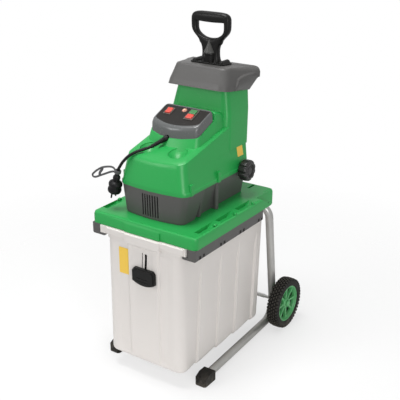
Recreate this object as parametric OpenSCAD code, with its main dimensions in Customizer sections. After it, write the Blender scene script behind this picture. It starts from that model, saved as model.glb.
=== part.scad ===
// Electric garden shredder on a wheeled tube stand, with a sliding collection box.
// Millimetres. +Z up, the front faces -Y, the origin is on the floor under the middle of the machine.

/* [Stand] */
// Height of the deck top above the floor
deck_top = 494; // [470:1:520]
// Full width of the deck over its side flanges
deck_w = 364; // [352:1:380]
// Width of the raised middle of the deck
plateau_w = 322; // [316:1:328]
// Front edge of the deck
deck_front = -280; // [-290:1:-270]
// Rear edge of the deck
deck_rear = 172; // [168:1:190]
// Height of the deck's front and side skirt
skirt_h = 36; // [30:1:44]
// Wall of the deck moulding
deck_wall = 4; // [3:0.5:5]
// Depth of the pockets along the flanges
pocket_depth = 10; // [5:1:14]
// Number of pockets on each flange
pocket_count = 3; // [1:1:4]
// Outer diameter of the leg tubes
tube_d = 25; // [22:0.5:28]
// Wall of the leg tubes
tube_wall = 1.5; // [1:0.1:3]
// Bend radius at the top of a leg, on the tube's centre line
top_bend_r = 38; // [30:1:46]
// Bend radius at the foot of a leg, on the tube's centre line
foot_bend_r = 50; // [42:1:56]
// Half the distance between the leg tubes under the deck
leg_top_x = 165; // [160:1:172]
// Half the distance between the leg tubes at their front ends
leg_front_x = 162; // [156:1:168]
// Length of a foot cap
foot_l = 56; // [50:1:70]
// Width of a foot cap
foot_w = 38; // [34:1:46]

/* [Wheels] */
// Tyre outer diameter
wheel_d = 168; // [150:1:180]
// Tyre width
wheel_w = 38; // [30:1:44]
// Diameter of the hub rim inside the tyre
rim_d = 120; // [110:1:128]
// Axle diameter
axle_d = 10; // [8:0.5:12]
// Distance of the axle behind the origin
axle_y = 214; // [205:1:225]
// Overall width over the tyres
track_w = 420; // [412:1:440]
// Distance between a leg tube and the wheel beside it
spacer_l = 12.2; // [10:0.1:16]
// Number of spokes in a hub
spoke_count = 8; // [5:1:10]
// Number of tread grooves on each shoulder of a tyre
tread_count = 24; // [12:2:32]

/* [Bin] */
// Outer width of the bin at its top
bin_top_w = 266; // [256:1:268]
// Outer width of the bin at its floor
bin_floor_w = 244; // [232:1:252]
// Height of the bin's floor above the ground
bin_z = 48.6; // [44:0.2:70]
// Front face of the bin
bin_front = -282; // [-290:1:-276]
// Rear face of the bin at its top
bin_rear = 168; // [160:1:174]
// Wall of the bin
bin_wall = 3; // [2:0.5:4]
// Width over the bin's hanging rim
rim_w = 300; // [290:1:306]
// Number of flutes on each side of the bin
flute_count = 4; // [2:1:5]
// Depth of a flute at the bin's floor
flute_depth = 7; // [2:0.5:7]
// Width of the latch
latch_w = 78; // [60:1:86]
// Height of the latch
latch_h = 40; // [34:1:46]
// How far the latch stands out of the bin
latch_t = 14; // [10:1:18]
// Travel of the latch
latch_travel = 38; // [30:1:40]

/* [Housing] */
// Depth of the hollows in the motor base's sides, at the deck
cheek = 8.5; // [1:0.5:9]
// Depth of these hollows at the seam
cheek_top = 3.5; // [1:0.5:4]
// Height of the grey motor base
base_h = 85; // [78:1:92]
// Width of the motor base at the deck
base_w = 208; // [202:1:212]
// Width of the housing at the seam between base and cowl
seam_w = 228; // [222:1:234]
// Front of the housing at the seam, at its corners
housing_front = -230; // [-236:1:-226]
// Rear of the housing at the seam
housing_rear = 97; // [96:1:104]
// How far the housing front bows forward at its middle
front_bow = 13; // [4:1:18]
// Wall of the base and the cowl
shell = 3; // [2.5:0.25:3.5]
// Number of slots in the front air grille
grille_count = 7; // [4:1:8]
// Width of a grille slot
grille_slot = 4.6; // [3:0.2:5.5]
// Height of the cowl's front shoulder above the seam
shoulder_h = 85; // [78:1:92]
// Slope of the cowl's top, rise over run
cowl_slope = 0.24; // [0.2:0.01:0.28]
// Height of the hood's lower front edge above the seam
neck_h = 248; // [240:1:262]
// Radius of the scoops in the cowl's slope
scoop_r = 28; // [20:1:32]

/* [Hopper] */
// Height of the hood front
hood_h = 58; // [50:1:66]
// Width over the hood's rear flare
hood_rear_w = 254; // [240:1:258]
// Inner width of the feed throat
throat_w = 92; // [86:1:100]
// Depth of the feed throat, front to rear
throat_d = 40; // [36:1:46]
// Wall of the hood and its chute
chute_wall = 3; // [2:0.5:4]
// Outer width of the pusher's handle
handle_w = 130; // [120:1:140]
// Diameter of the handle's grip
grip_d = 30; // [26:1:34]
// Height of the handle's top above its seat in the hood
handle_h = 155; // [148:1:168]
// Length of the pusher's plunger
plunger_l = 132; // [90:1:140]

/* [Cutter] */
// Diameter over the drum's teeth
drum_d = 84; // [76:1:86]
// Length of the cutter drum
drum_l = 64; // [58:1:66]
// Number of teeth around the drum
drum_teeth = 8; // [6:1:10]
// Depth of a drum tooth
drum_tooth = 6; // [4:0.5:8]
// Diameter of the drum shaft
shaft_d = 17; // [14:0.5:18]
// Outer diameter of the drum bearings
bearing_d = 35; // [30:1:38]
// Width of the drum bearings
bearing_w = 8; // [6:0.5:8]
// Gap between the drum and the pressing plate at rest
press_gap = 4.5; // [4:0.1:7]

/* [Drive] */
// Gear module of the motor stage
stage1_module = 1.25; // [1.2:0.05:1.3]
// Gear module of the drum stage
stage2_module = 1.75; // [1.7:0.05:1.8]
// Teeth of each pinion
pinion_teeth = 10; // [9:1:11]
// Teeth of each wheel
wheel_teeth = 60; // [56:1:62]
// Face width of the gears
gear_face = 12; // [8:1:12]
// Diameter of the motor can
motor_d = 106; // [96:1:108]
// Length of the motor can
motor_l = 112; // [100:1:116]
// Diameter of the motor shaft
motor_shaft_d = 8; // [7:0.5:9]
// Diameter of the cooling fan
fan_d = 92; // [80:1:100]
// Number of fan blades
fan_blades = 9; // [6:1:11]

/* [Controls] */
// Tilt of the control panel
panel_tilt = 22.5; // [18:0.5:25]
// Width of the panel bezel
bezel_w = 164; // [156:1:168]
// Height of the bezel's front
bezel_h = 29; // [26:1:33]
// Width of a push button
button_w = 16; // [13:0.5:17]
// Length of a push button, up the panel
button_l = 18; // [14:0.5:20]
// Travel of the push buttons
button_travel = 3; // [2:0.5:3.5]
// Diameter of the adjuster knob
knob_d = 64; // [54:1:70]
// Thickness of the adjuster knob
knob_t = 30; // [22:1:34]
// Number of scallops around the knob
knob_scallops = 10; // [6:1:12]
// Diameter of the adjuster screw
screw_d = 10; // [8:0.5:11]

/* [Cord] */
// Cord diameter
cord_d = 8.5; // [6:0.5:10]
// Plug body diameter
plug_d = 40; // [34:1:42]
// Width of the cord strap's band
strap_w = 5; // [3:0.5:7]

/* [Fits] */
// Radial clearance of a shaft in its hole
run_gap = 0.05; // [0.02:0.01:0.1]
// Clearance of a sliding or sprung piece
slide_gap = 0.4; // [0.3:0.05:0.6]

/* [Hidden] */
$fn = 48;
corner_steps = 5;
bow_steps = 4;
eps = 0.01;

green = "#2c9a4c";
dark_grey = "#4c4a4a";
black = "#1d1d1d";
pale = "#d8d4cf";
steel = "#a9a9a6";
cast = "#b9bbbd";
red = "#b8352a";

// Levels
seam_z = deck_top + base_h;
shoulder_z = seam_z + shoulder_h;
hood_z = seam_z + neck_h;
hood_top = hood_z + hood_h;
skirt_z = deck_top - skirt_h;
rail_h = 34;
rail_z = skirt_z - rail_h;
ledge_t = 8;
ledge_z = rail_z + ledge_t;
rim_out = (rim_w - bin_top_w) / 2;
ledge_in = bin_top_w / 2 + min(4, rim_out / 4);
rail_wall = 4;
rail_rear = 75;
rear_skirt = 51;
rear_skirt_z = deck_top - rear_skirt;

// Leg geometry: the leg line passes through the axle
tube_r = tube_d / 2;
tube_z = 17;
leg_top = [leg_top_x, 138.5, rear_skirt_z];
axle_z = wheel_d / 2;
wheel_in = track_w / 2 - wheel_w;
axle_leg_x = wheel_in - tube_r - spacer_l;
leg_fall = (leg_top.z - tube_z) / (leg_top.z - axle_z);
leg_low_x = leg_top.x + (axle_leg_x - leg_top.x) * leg_fall;
leg_low = [leg_low_x, leg_top.y + (axle_y - leg_top.y) * leg_fall, tube_z];
leg_front = [leg_front_x, -204, tube_z];
stub_in = 110;
leg_path = [[stub_in, leg_top.y, leg_top.z], leg_top, leg_low, leg_front];
saddle_d = tube_d + 9;
bolt_r = 4;
bolt_x = stub_in + 11;

// Wheels
hub_boss_out = track_w / 2 - 5;
hub_boss_r = 17;
cap_r = 11;
spacer_r = 9;

// Bin
bin_top = ledge_z + slide_gap;
rim_t = 5;
rim_up = 16;
rear_drop_z = rail_z + 4;
rim_rear = rail_rear + 3;
bin_floor_rear = bin_rear - 15;
front_lip_hw = 60.7;
front_panel_hw = 50;
front_panel_t = 2;
latch_z = rail_z - 94;
latch_x = 12;
slot_w = 5;
latch_neck_h = 12;
latch_neck_z = latch_z + 7;
slot_top = latch_z + 72;
finger_y = deck_front + 18;
finger_t = 6;
finger_hw = 6;
finger_top = skirt_z - latch_travel + 2;

// Housing rows for the lofts: half widths front and rear, front, rear, corner radii, bow, height, slope
base_front = housing_front + 4;
cheek_rows = [
    [base_w / 2 - 2, base_w / 2 - 2, base_front, housing_rear - 2, 17, 10, front_bow, deck_top, 0],
    [base_w / 2, base_w / 2, base_front - 2, housing_rear - 2, 18, 11, front_bow, deck_top + 6, 0],
    [seam_w / 2, seam_w / 2, housing_front, housing_rear, 20, 12, front_bow, seam_z, 0]
];
base_rows = [
    for (k = [0:2])
        let (s = cheek_rows[k], in = k < 2 ? cheek : cheek_top)
            [s[0] - in, s[1] - in, s[2], s[3], s[4], s[5], s[6], s[7], s[8]]
];
lip_h = 9;
lip_out = 2.5;
lip_hw = seam_w / 2 + lip_out;
lip_front = housing_front - 0.6;
body_rows = [
    [lip_hw, lip_hw, lip_front, housing_rear + 1, 20, 12, front_bow, seam_z, 0],
    [lip_hw, lip_hw, lip_front, housing_rear + 1, 20, 12, front_bow, seam_z + lip_h, 0],
    [lip_hw - 3.5, lip_hw - 3.5, lip_front + 0.6, housing_rear, 20, 12, front_bow, seam_z + lip_h + 4, 0],
    [lip_hw - 14, lip_hw - 14, lip_front + 8, housing_rear + 8, 22, 12, front_bow - 3, shoulder_z - 14, 0],
    [lip_hw - 18, lip_hw - 15, lip_front + 11, housing_rear + 10, 22, 12, front_bow - 4, shoulder_z, cowl_slope],
    [lip_hw - 24, lip_hw - 20, lip_front + 17, housing_rear + 8, 21, 12, front_bow - 5, shoulder_z + 5, cowl_slope],
    [lip_hw - 34, lip_hw - 26, lip_front + 30, housing_rear + 6, 18, 12, front_bow - 6, shoulder_z + 9.5, cowl_slope]
];
scoop_x = 49;
scoop_y = -174;
scoop_z = shoulder_z - 6;

// Hood rows; the hood's lower rim lies in one sloped plane, which is also the neck's top
hood_front = -25;
hood_rear = 137;
hood_drop = -0.148;
function rim_z(y) = hood_z + hood_drop * (y - hood_front);
hood_low_hw = seam_w / 2 - 10;
hood_rows = [
    [hood_low_hw, hood_low_hw - 5, hood_front, hood_rear - 13, 9, 10, 0, hood_z, hood_drop],
    [hood_low_hw - 1, hood_low_hw + 6, hood_front + 5, hood_rear - 6, 9, 10, 0, hood_z + 12, -0.093],
    [hood_low_hw - 8, hood_rear_w / 2, hood_front + 19, hood_rear - 1, 9, 11, 0, hood_z + hood_h - 19, -0.1],
    [hood_low_hw - 13, hood_rear_w / 2, hood_front + 27, hood_rear, 9, 11, 0, hood_z + hood_h - 3, -0.074],
    [hood_low_hw - 16, hood_rear_w / 2 - 3, hood_front + 31, hood_rear - 3, 8, 10, 0, hood_z + hood_h, -0.074],
    [hood_low_hw - 24, hood_rear_w / 2 - 11, hood_front + 39, hood_rear - 11, 7, 9, 0, hood_z + hood_h + 0.5, -0.074]
];
seat_z = hood_top - 11;
throat_y = 62;
chute_low_z = seam_z + 51;
chute_low_y = 46;
chute_rows = [
    [throat_w / 2 - 6, throat_w / 2 - 6, chute_low_y - 28, chute_low_y + 30, 5, 5, 0, chute_low_z, 0],
    [throat_w / 2, throat_w / 2, throat_y - throat_d / 2, throat_y + throat_d / 2, 5, 5, 0, seat_z, 0]
];
neck_front = -5;
neck_top_front = neck_front + 13;
neck_hw = seam_w / 2 - 12;
neck_rows = [
    [neck_hw + 3, neck_hw + 2, neck_front - 7, housing_rear + 10, 22, 10, 0, seam_z + 70, 0],
    [neck_hw, neck_hw - 1, neck_front, housing_rear + 19, 22, 10, 0, hood_z - 75, 0],
    [neck_hw - 14, neck_hw - 8, neck_top_front, housing_rear + 26, 20, 10, 0, rim_z(neck_top_front) - 0.02, hood_drop]
];

// Control panel rows; every row lies parallel to the panel
panel_front = -118;
bezel_r = 11;
bezel_bow = 20;
panel_slope = tan(panel_tilt);
bezel_top_z = hood_z - 80;
bezel_rear = -50;
function panel_z(y) = bezel_top_z + panel_slope * (y - panel_front);
function bezel_row(inset, drop) = [
    bezel_w / 2 - inset, bezel_w / 2 - inset, panel_front - 6 + inset * 1.7, bezel_rear + 6 - inset * 1.5,
    bezel_r, bezel_r, bezel_bow, panel_z(panel_front - 6 + inset * 1.7) - drop, panel_slope
];
bezel_rows = [bezel_row(0, bezel_h), bezel_row(0.4, 9), bezel_row(2, 2.5), bezel_row(4, 0)];
pedestal_low_front = panel_front - 24;
pedestal_front = panel_front - 8;
pedestal_hw = bezel_w / 2 + 2;
saddle_front = bezel_rear + 6.6;
pedestal_rows = [
    [pedestal_hw + 7, pedestal_hw + 7, pedestal_low_front, neck_front + 14, 16, 4, bezel_bow, shoulder_z + 6, cowl_slope],
    [pedestal_hw, pedestal_hw, pedestal_front, neck_front + 14, 12, 4, bezel_bow,
        panel_z(pedestal_front) - bezel_h - 0.02, panel_slope]
];
saddle_rows = [
    [pedestal_hw + 3, pedestal_hw + 3, saddle_front, neck_front + 14, 5, 4, 0,
        panel_z(saddle_front) - bezel_h - 12, panel_slope],
    [pedestal_hw, pedestal_hw, saddle_front, neck_front + 14, 5, 4, 0, panel_z(saddle_front) - 12, panel_slope],
    [pedestal_hw - 6, pedestal_hw - 6, saddle_front + 3, neck_front + 14, 5, 4, 0,
        panel_z(saddle_front + 3) - 6, panel_slope]
];
function shortened(s, rear) = [s[0], s[1], s[2], rear, s[4], s[5], s[6], s[7], s[8]];

// Cutter and drive axes
drum_x = -15;
drum_z = deck_top + 81;
drum_y0 = chute_low_y - drum_l / 2;
drum_r = drum_d / 2;
drum_rest = 2;
plate_t = 8;
chamber_hw = 62;
chamber_front = drum_y0 - drum_rest - plate_t;
chamber_rear = drum_y0 + drum_l + drum_rest + plate_t;
chamber_z = seam_z + 48;
floor_z = deck_top + shell + 1;
shaft_r = shaft_d / 2;
bearing_r = bearing_d / 2;
stage1_c = stage1_module * (pinion_teeth + wheel_teeth) / 2;
stage2_c = stage2_module * (pinion_teeth + wheel_teeth) / 2;
stage2_dir = 75;
stage1_dir = -80;
mid_x = drum_x + stage2_c * cos(stage2_dir);
mid_z = drum_z + stage2_c * sin(stage2_dir);
motor_x = mid_x + stage1_c * cos(stage1_dir);
motor_z = mid_z + stage1_c * sin(stage1_dir);
gear_pressure = 25;
gear_backlash = 0.16;
cover_t = 5;
cover_y = chamber_front - 0.5 - cover_t;
gear2_y = cover_y - 3 - gear_face;
gear1_y = gear2_y - 5 - gear_face;
case_y = gear1_y - 4 - 6;
gear_room = 3;
case_wall = 4;
gear2_tip = stage2_module * (wheel_teeth / 2 + 1);
gear1_tip = stage1_module * (wheel_teeth / 2 + 1);
mid_shaft_r = 4.5;
motor_r = motor_d / 2;
motor_rear = case_y - 2;
motor_front = motor_rear - motor_l;
can_wall = 3;
shield_t = 5;
stator_in = 30;
fan_y = motor_front - 12;
post_r = 8;
posts = [[-90, -184], [90, -184], [-84, 76], [84, 76]];
tab_y = -70;
tabs = [-203, tab_y];
tab_out = 2;
tab_h = 30;
cowl_screw_r = 2.5;

// Adjuster
screw_r = screw_d / 2;
screw_y = 55;
screw_z = seam_z + 1;
knob_in = lip_hw + 0.8;
press_face = drum_x + drum_r + press_gap;
press_back = press_face + 21;
press_travel = 3;

// Controls in the panel's own plane: across, up the slope
panel_hw = bezel_w / 2 - 7;
panel_l = 66;
plate_thick = 2.5;
plate_bow = bezel_bow - 5;
plate_gap = 0.2;
switch_v = 42;
rocker_u = -49;
power_u = 29;
breaker_u = -5;
breaker_v = 56;
switch_depth = 24;
rocker_hw = 7;
rocker_hl = 10;
frame_rim = 3;

// Cord route from the strain relief to the plug, then the strap's loop
gland_exit = [-13, -146.5, 704];
relief_end = [-34, -183, 687];
gland_r = 8;
cord_points = [
    relief_end, [-42, -194, 683.5], [-51, -205, 680], [-60, -216, 676.5], [-69, -226, 671],
    [-79, -233, 663], [-88, -236, 653.5], [-96.5, -238, 643.5], [-104, -238, 633], [-110, -238, 624],
    [-114, -238, 617]
];
plug_top = cord_points[len(cord_points) - 1];
plug_dir = [-0.2425, 0, -0.97015];
sleeve_r = cord_d / 2 + 2.2;
strap_points = [
    [-123, -238, 613.6], [-131, -238, 621], [-146, -238, 621], [-171, -238, 614], [-190, -238, 603], [-204, -238, 592],
    [-211, -238, 584], [-208, -238, 578.5], [-198, -238, 579.5], [-180, -238, 588], [-160, -238, 597.5],
    [-142, -238, 606], [-130, -238, 609.4], [-123.4, -238, 609.4]
];

// Closed outline of a rounded box seen from above, with a bowed front
function outline(s) =
    let (hf = s[0], hr = s[1], yf = s[2], yr = s[3], rf = s[4], rr = s[5], bow = s[6])
    let (arc = [for (i = [0:corner_steps]) 90 * i / corner_steps])
    let (inner = [for (i = [1:bow_steps - 1]) (hf - rf) * (2 * i / bow_steps - 1)])
    let (front = concat(
        [for (a = arc) [-hf + rf - rf * cos(a), yf + rf - rf * sin(a)]],
        [for (x = inner) [x, yf]],
        [for (a = arc) [hf - rf + rf * sin(a), yf + rf - rf * cos(a)]]))
    concat(
        [for (a = arc) [hr - rr + rr * cos(a), yr - rr + rr * sin(a)]],
        [for (a = arc) [-hr + rr - rr * sin(a), yr - rr + rr * cos(a)]],
        [for (p = front) [p.x, p.y - bow * (1 - pow(p.x / hf, 2))]]);

function row_points(s) = [for (p = outline(s)) [p.x, p.y, s[7] + s[8] * (p.y - s[2])]];

// A row drawn in by a wall, with its height changed by lift
function drawn_in(s, wall, lift) = [
    s[0] - wall, s[1] - wall, s[2] + wall, s[3] - wall, max(s[4] - wall, 1), max(s[5] - wall, 1), s[6],
    s[7] + lift, s[8]
];

function unit(v) = v / norm(v);

// Solid skin through a stack of outline rows
module loft(rows) {
    rings = [for (s = rows) row_points(s)];
    n = len(rings[0]);
    last = len(rings) - 1;
    sides = [
        for (k = [0:last - 1], i = [0:n - 1])
            let (j = (i + 1) % n)
            each [[k * n + i, (k + 1) * n + i, (k + 1) * n + j], [k * n + i, (k + 1) * n + j, k * n + j]]
    ];
    bottom = [for (i = [1:n - 2]) [0, i, i + 1]];
    top = [for (i = [1:n - 2]) [last * n, last * n + i + 1, last * n + i]];
    polyhedron([for (r = rings) each r], concat(sides, bottom, top), 4);
}

// A route is a list of a point and a direction; this one runs through given points
function route_through(points, start_dir, end_dir) =
    let (last = len(points) - 1)
    [
        for (i = [0:last])
            [points[i], unit(i == 0 ? start_dir : i == last ? end_dir : points[i + 1] - points[i - 1])]
    ];

// A route along straight lines with a round bend at each inner corner
function bent_route(path, bends, steps) =
    let (last = len(path) - 1)
    let (d = [for (i = [0:last - 1]) unit(path[i + 1] - path[i])])
    concat(
        [[path[0], d[0]]],
        [
            for (i = [1:last - 1])
                let (turn = acos(d[i - 1] * d[i]), inward = unit(d[i] - d[i - 1] * (d[i - 1] * d[i])))
                let (r = bends[i - 1], start = path[i] - d[i - 1] * r * tan(turn / 2))
                for (k = [0:steps])
                    let (a = turn * k / steps)
                    [start + r * (inward * (1 - cos(a)) + d[i - 1] * sin(a)), d[i - 1] * cos(a) + inward * sin(a)]
        ],
        [[path[last], d[last - 1]]]);

// One side direction carried along a route without twist
function carried(route, side, i = 0) =
    i == len(route) ? [] :
    let (d = route[i][1], u = unit(side - d * (d * side)))
    concat([u], carried(route, u, i + 1));

// Skin of an oval section along a route, with flat ends square to it
module swept(route, side, half_u, half_v, sides) {
    last = len(route) - 1;
    u = carried(route, side);
    rings = [
        for (i = [0:last], k = [0:sides - 1])
            let (a = 360 * k / sides)
            route[i][0] + half_u * cos(a) * u[i] + half_v * sin(a) * cross(route[i][1], u[i])
    ];
    skin = [
        for (i = [0:last - 1], k = [0:sides - 1])
            let (m = (k + 1) % sides, a = i * sides, b = a + sides)
            each [[a + k, b + k, b + m], [a + k, b + m, a + m]]
    ];
    start = [for (k = [1:sides - 2]) [0, k, k + 1]];
    end = [for (k = [1:sides - 2]) [last * sides, last * sides + k + 1, last * sides + k]];
    polyhedron(rings, concat(skin, start, end), 4);
}

// Puts a shape's own X, Y and Z along three given directions
module oriented(origin, x_dir, y_dir, z_dir) {
    multmatrix([
        [x_dir.x, y_dir.x, z_dir.x, origin.x],
        [x_dir.y, y_dir.y, z_dir.y, origin.y],
        [x_dir.z, y_dir.z, z_dir.z, origin.z],
        [0, 0, 0, 1]])
        children();
}

module rod(from, to, r) {
    d = unit(to - from);
    ref = abs(d.z) < 0.9 ? [0, 0, 1] : [1, 0, 0];
    u = unit(cross(ref, d));
    oriented(from, u, cross(d, u), d) cylinder(h = norm(to - from), r = r);
}

// A flat outline of X and Z carried along Y, and one of Y and Z carried along X
module along_y(y0, y1) {
    translate([0, y1, 0]) rotate([90, 0, 0]) linear_extrude(y1 - y0) children();
}

module along_x(x0, x1) {
    translate([x0, 0, 0]) rotate([90, 0, 90]) linear_extrude(x1 - x0) children();
}

module rod_y(x, z, y0, y1, r) {
    along_y(y0, y1) translate([x, z]) circle(r);
}

module rod_x(y, z, x0, x1, r) {
    along_x(x0, x1) translate([y, z]) circle(r);
}

module block(low, high) {
    translate(low) cube(high - low);
}

module both_sides() {
    children();
    mirror([1, 0, 0]) children();
}

// Involute gear outline with backlash
function involute(a) = tan(a) * 180 / PI - a;
function gear_half(m, z, r) =
    let (rp = m * z / 2, rb = rp * cos(gear_pressure))
    90 / z - gear_backlash / 2 / rp * 180 / PI + involute(gear_pressure) - involute(acos(min(1, rb / max(r, rb))));
function gear_points(m, z) =
    let (rp = m * z / 2, rb = rp * cos(gear_pressure), root = rp - 1.05 * m, tip = rp + 0.8 * m)
    let (low = max(root + 0.02, rb), flank = [for (i = [0:3]) low + (tip - low) * i / 3])
    let (radii = concat([root], flank))
    [
        for (k = [0:z - 1], side = [-1, 1], i = [0:4])
            let (r = side < 0 ? radii[i] : radii[4 - i], a = 360 * k / z + side * gear_half(m, z, r))
            r * [cos(a), sin(a)]
    ];

module gear(m, z, turn) {
    rotate(turn) polygon(gear_points(m, z));
}

// The panel's plane: origin at the middle of its front edge
module on_panel() {
    translate([0, panel_front, bezel_top_z]) rotate([panel_tilt, 0, 0]) children();
}

// Deck
module ramp_cut(shift) {
    both_sides()
        along_x(plateau_w / 2 - shift, deck_w / 2 + 20)
            polygon([
                [65, deck_top + 1 - shift], [65, deck_top - shift], [127, skirt_z - shift], [200, skirt_z - shift],
                [200, deck_top + 1 - shift]]);
}

module flange_pockets(grow) {
    pocket_pitch = 101;
    pocket_l = 84;
    both_sides()
        for (i = [0:pocket_count - 1]) {
            y = deck_front + 35 + i * pocket_pitch;
            along_x(plateau_w / 2 - 9 - grow, deck_w / 2 - 6 + grow)
                polygon([
                    [y - grow, deck_top + 1], [y - grow, deck_top], [y + 5, deck_top - pocket_depth - grow],
                    [y + pocket_l - 26, deck_top - pocket_depth - grow], [y + pocket_l + grow, deck_top],
                    [y + pocket_l + grow, deck_top + 1]]);
        }
}

module deck_slab(hw, front, rear, low, wall, lift) {
    edge = 11;
    rows = [
        [hw, hw, front, rear, 14, 8, 0, low, 0], [hw, hw, front, rear, 14, 8, 0, deck_top - edge, 0],
        [hw - 2.5, hw - 2.5, front + 2.5, rear - 2.5, 13, 7, 0, deck_top - edge / 3, 0],
        [hw - edge + 2, hw - edge + 2, front + edge - 2, rear - edge + 2, 12, 5, 0, deck_top, 0]
    ];
    loft([for (s = rows) drawn_in(s, wall, lift)]);
}

module deck() {
    opening_hw = chamber_hw - 2;
    grip_x = 94;
    color(green) difference() {
        union() {
            difference() {
                union() {
                    difference() {
                        deck_slab(deck_w / 2, deck_front, 130, skirt_z, 0, 0);
                        ramp_cut(0);
                    }
                    deck_slab(plateau_w / 2, deck_front, deck_rear, skirt_z, 0, 0);
                    deck_slab(plateau_w / 2, 90, deck_rear, rear_skirt_z, 0, 0);
                    along_x(-front_lip_hw - 1, front_lip_hw + 1)
                        polygon([
                            [deck_front + 2, skirt_z], [deck_front - 4, skirt_z], [deck_front - 4, deck_top - 16],
                            [deck_front + 2, deck_top - 8]]);
                }
                difference() {
                    union() {
                        difference() {
                            deck_slab(deck_w / 2, deck_front, 130, skirt_z, deck_wall, -deck_wall);
                            ramp_cut(deck_wall);
                        }
                        deck_slab(plateau_w / 2, deck_front, deck_rear, skirt_z, deck_wall, -deck_wall);
                        deck_slab(plateau_w / 2, 86, deck_rear, rear_skirt_z, deck_wall, -deck_wall);
                    }
                    flange_pockets(deck_wall);
                }
                flange_pockets(0);
            }
            both_sides()
                block(
                    [stub_in, leg_top.y - saddle_d / 2, rear_skirt_z],
                    [plateau_w / 2 - 1, leg_top.y + saddle_d / 2, deck_top - 2]);
        }
        block([-opening_hw, chamber_front + plate_t, skirt_z], [opening_hw, chamber_rear - plate_t, deck_top + 1]);
        both_sides() {
            rod_x(leg_top.y, leg_top.z, stub_in - 10, bolt_x + 4, tube_r + run_gap);
            rod_x(leg_top.y, leg_top.z, bolt_x, deck_w / 2, tube_r + 1);
            translate([bolt_x, leg_top.y, leg_top.z]) cylinder(h = 40, r = bolt_r + run_gap);
            translate([grip_x, 124, deck_top - 20]) cube([8, 36, 30]);
        }
    }
}

// Bin runner: a channel open towards the bin, with paired windows in its wall
module rail() {
    outer = deck_w / 2 - 0.5;
    window = 10;
    color(dark_grey) difference() {
        union() {
            along_y(deck_front, rail_rear)
                polygon([
                    [ledge_in, rail_z + 2], [ledge_in + 2, rail_z], [outer - 3, rail_z], [outer, rail_z + 3],
                    [outer, skirt_z], [outer - 26, skirt_z], [outer - 26, skirt_z - rail_wall],
                    [outer - rail_wall, skirt_z - rail_wall], [outer - rail_wall, ledge_z], [ledge_in, ledge_z]]);
            block([rim_w / 2 + 4, deck_front, ledge_z - 1], [outer - 1, deck_front + 14, skirt_z]);
        }
        for (i = [0:3], j = [0:1])
            block(
                [outer - rail_wall - 1, deck_front + 16 + 103 * i + 18 * j, rail_z + 3],
                [outer + 1, deck_front + 16 + 103 * i + 18 * j + window, rail_z + 3 + window]);
    }
}

module rail_left() {
    mirror([1, 0, 0]) rail();
}

module rail_right() {
    rail();
}

// Bent leg tube with its axle hole and the hole for the deck bolt
module frame_tube() {
    bends = [top_bend_r, foot_bend_r];
    over = 1;
    bore_path = [leg_path[0] - [over, 0, 0], leg_top, leg_low, leg_front + over * unit(leg_front - leg_low)];
    color(steel) difference() {
        swept(bent_route(leg_path, bends, 8), [0, 1, 0], tube_r, tube_r, 20);
        swept(bent_route(bore_path, bends, 8), [0, 1, 0], tube_r - tube_wall, tube_r - tube_wall, 20);
        rod_x(axle_y, axle_z, axle_leg_x - tube_d, axle_leg_x + tube_d, axle_d / 2 + run_gap);
        translate([bolt_x, leg_top.y, leg_top.z - tube_d]) cylinder(h = 2 * tube_d, r = bolt_r + run_gap);
    }
}

module frame_tube_left() {
    mirror([1, 0, 0]) frame_tube();
}

module frame_tube_right() {
    frame_tube();
}

module foot() {
    foot_front = leg_front.y - foot_l + 24;
    foot_x = leg_front.x + 1;
    color(black) difference() {
        along_x(foot_x - foot_w / 2, foot_x + foot_w / 2)
            polygon([
                [foot_front, 2], [foot_front + 2, 0], [foot_front + foot_l - 2, 0], [foot_front + foot_l, 3],
                [foot_front + foot_l, tube_z + tube_r + 2], [foot_front + foot_l - 4, tube_z + tube_r + 4],
                [foot_front + foot_l - 30, tube_z + tube_r + 4], [foot_front + 3, 22], [foot_front, 19]]);
        rod(leg_front, leg_front + (leg_low - leg_front) * 0.2, tube_r + run_gap);
        for (side = [-1, 1])
            translate([foot_x + side * foot_w / 2, foot_front, 0])
                rotate(45) translate([-5, -5, -1]) cube([10, 10, 60]);
    }
}

module foot_left() {
    mirror([1, 0, 0]) foot();
}

module foot_right() {
    foot();
}

module frame_bolts() {
    head_h = 5;
    seat = 0.4;
    color(steel) both_sides() {
        translate([bolt_x, leg_top.y, leg_top.z - tube_r - seat]) cylinder(h = tube_r + 36, r = bolt_r);
        translate([bolt_x, leg_top.y, leg_top.z - tube_r - head_h - seat]) cylinder(h = head_h, r = 6.5, $fn = 6);
    }
}

module axle() {
    color(steel) rod_x(axle_y, axle_z, -hub_boss_out - 3, hub_boss_out + 3, axle_d / 2);
}

module wheel_spacers() {
    color(black) both_sides() difference() {
        rod_x(axle_y, axle_z, axle_leg_x + tube_r + 0.7, wheel_in - slide_gap, spacer_r);
        rod_x(axle_y, axle_z, axle_leg_x, wheel_in, axle_d / 2 + run_gap);
    }
}

// Push-on domed caps on the axle's ends
module axle_caps() {
    x = hub_boss_out + slide_gap;
    cap_t = 6;
    color(black) both_sides() difference() {
        translate([x, axle_y, axle_z]) rotate([0, 90, 0])
            rotate_extrude() polygon([[0, 0], [cap_r, 0], [cap_r, 2], [cap_r - 3, cap_t - 1], [0, cap_t]]);
        rod_x(axle_y, axle_z, x - 1, hub_boss_out + 3 + run_gap, axle_d / 2 + run_gap);
    }
}

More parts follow.
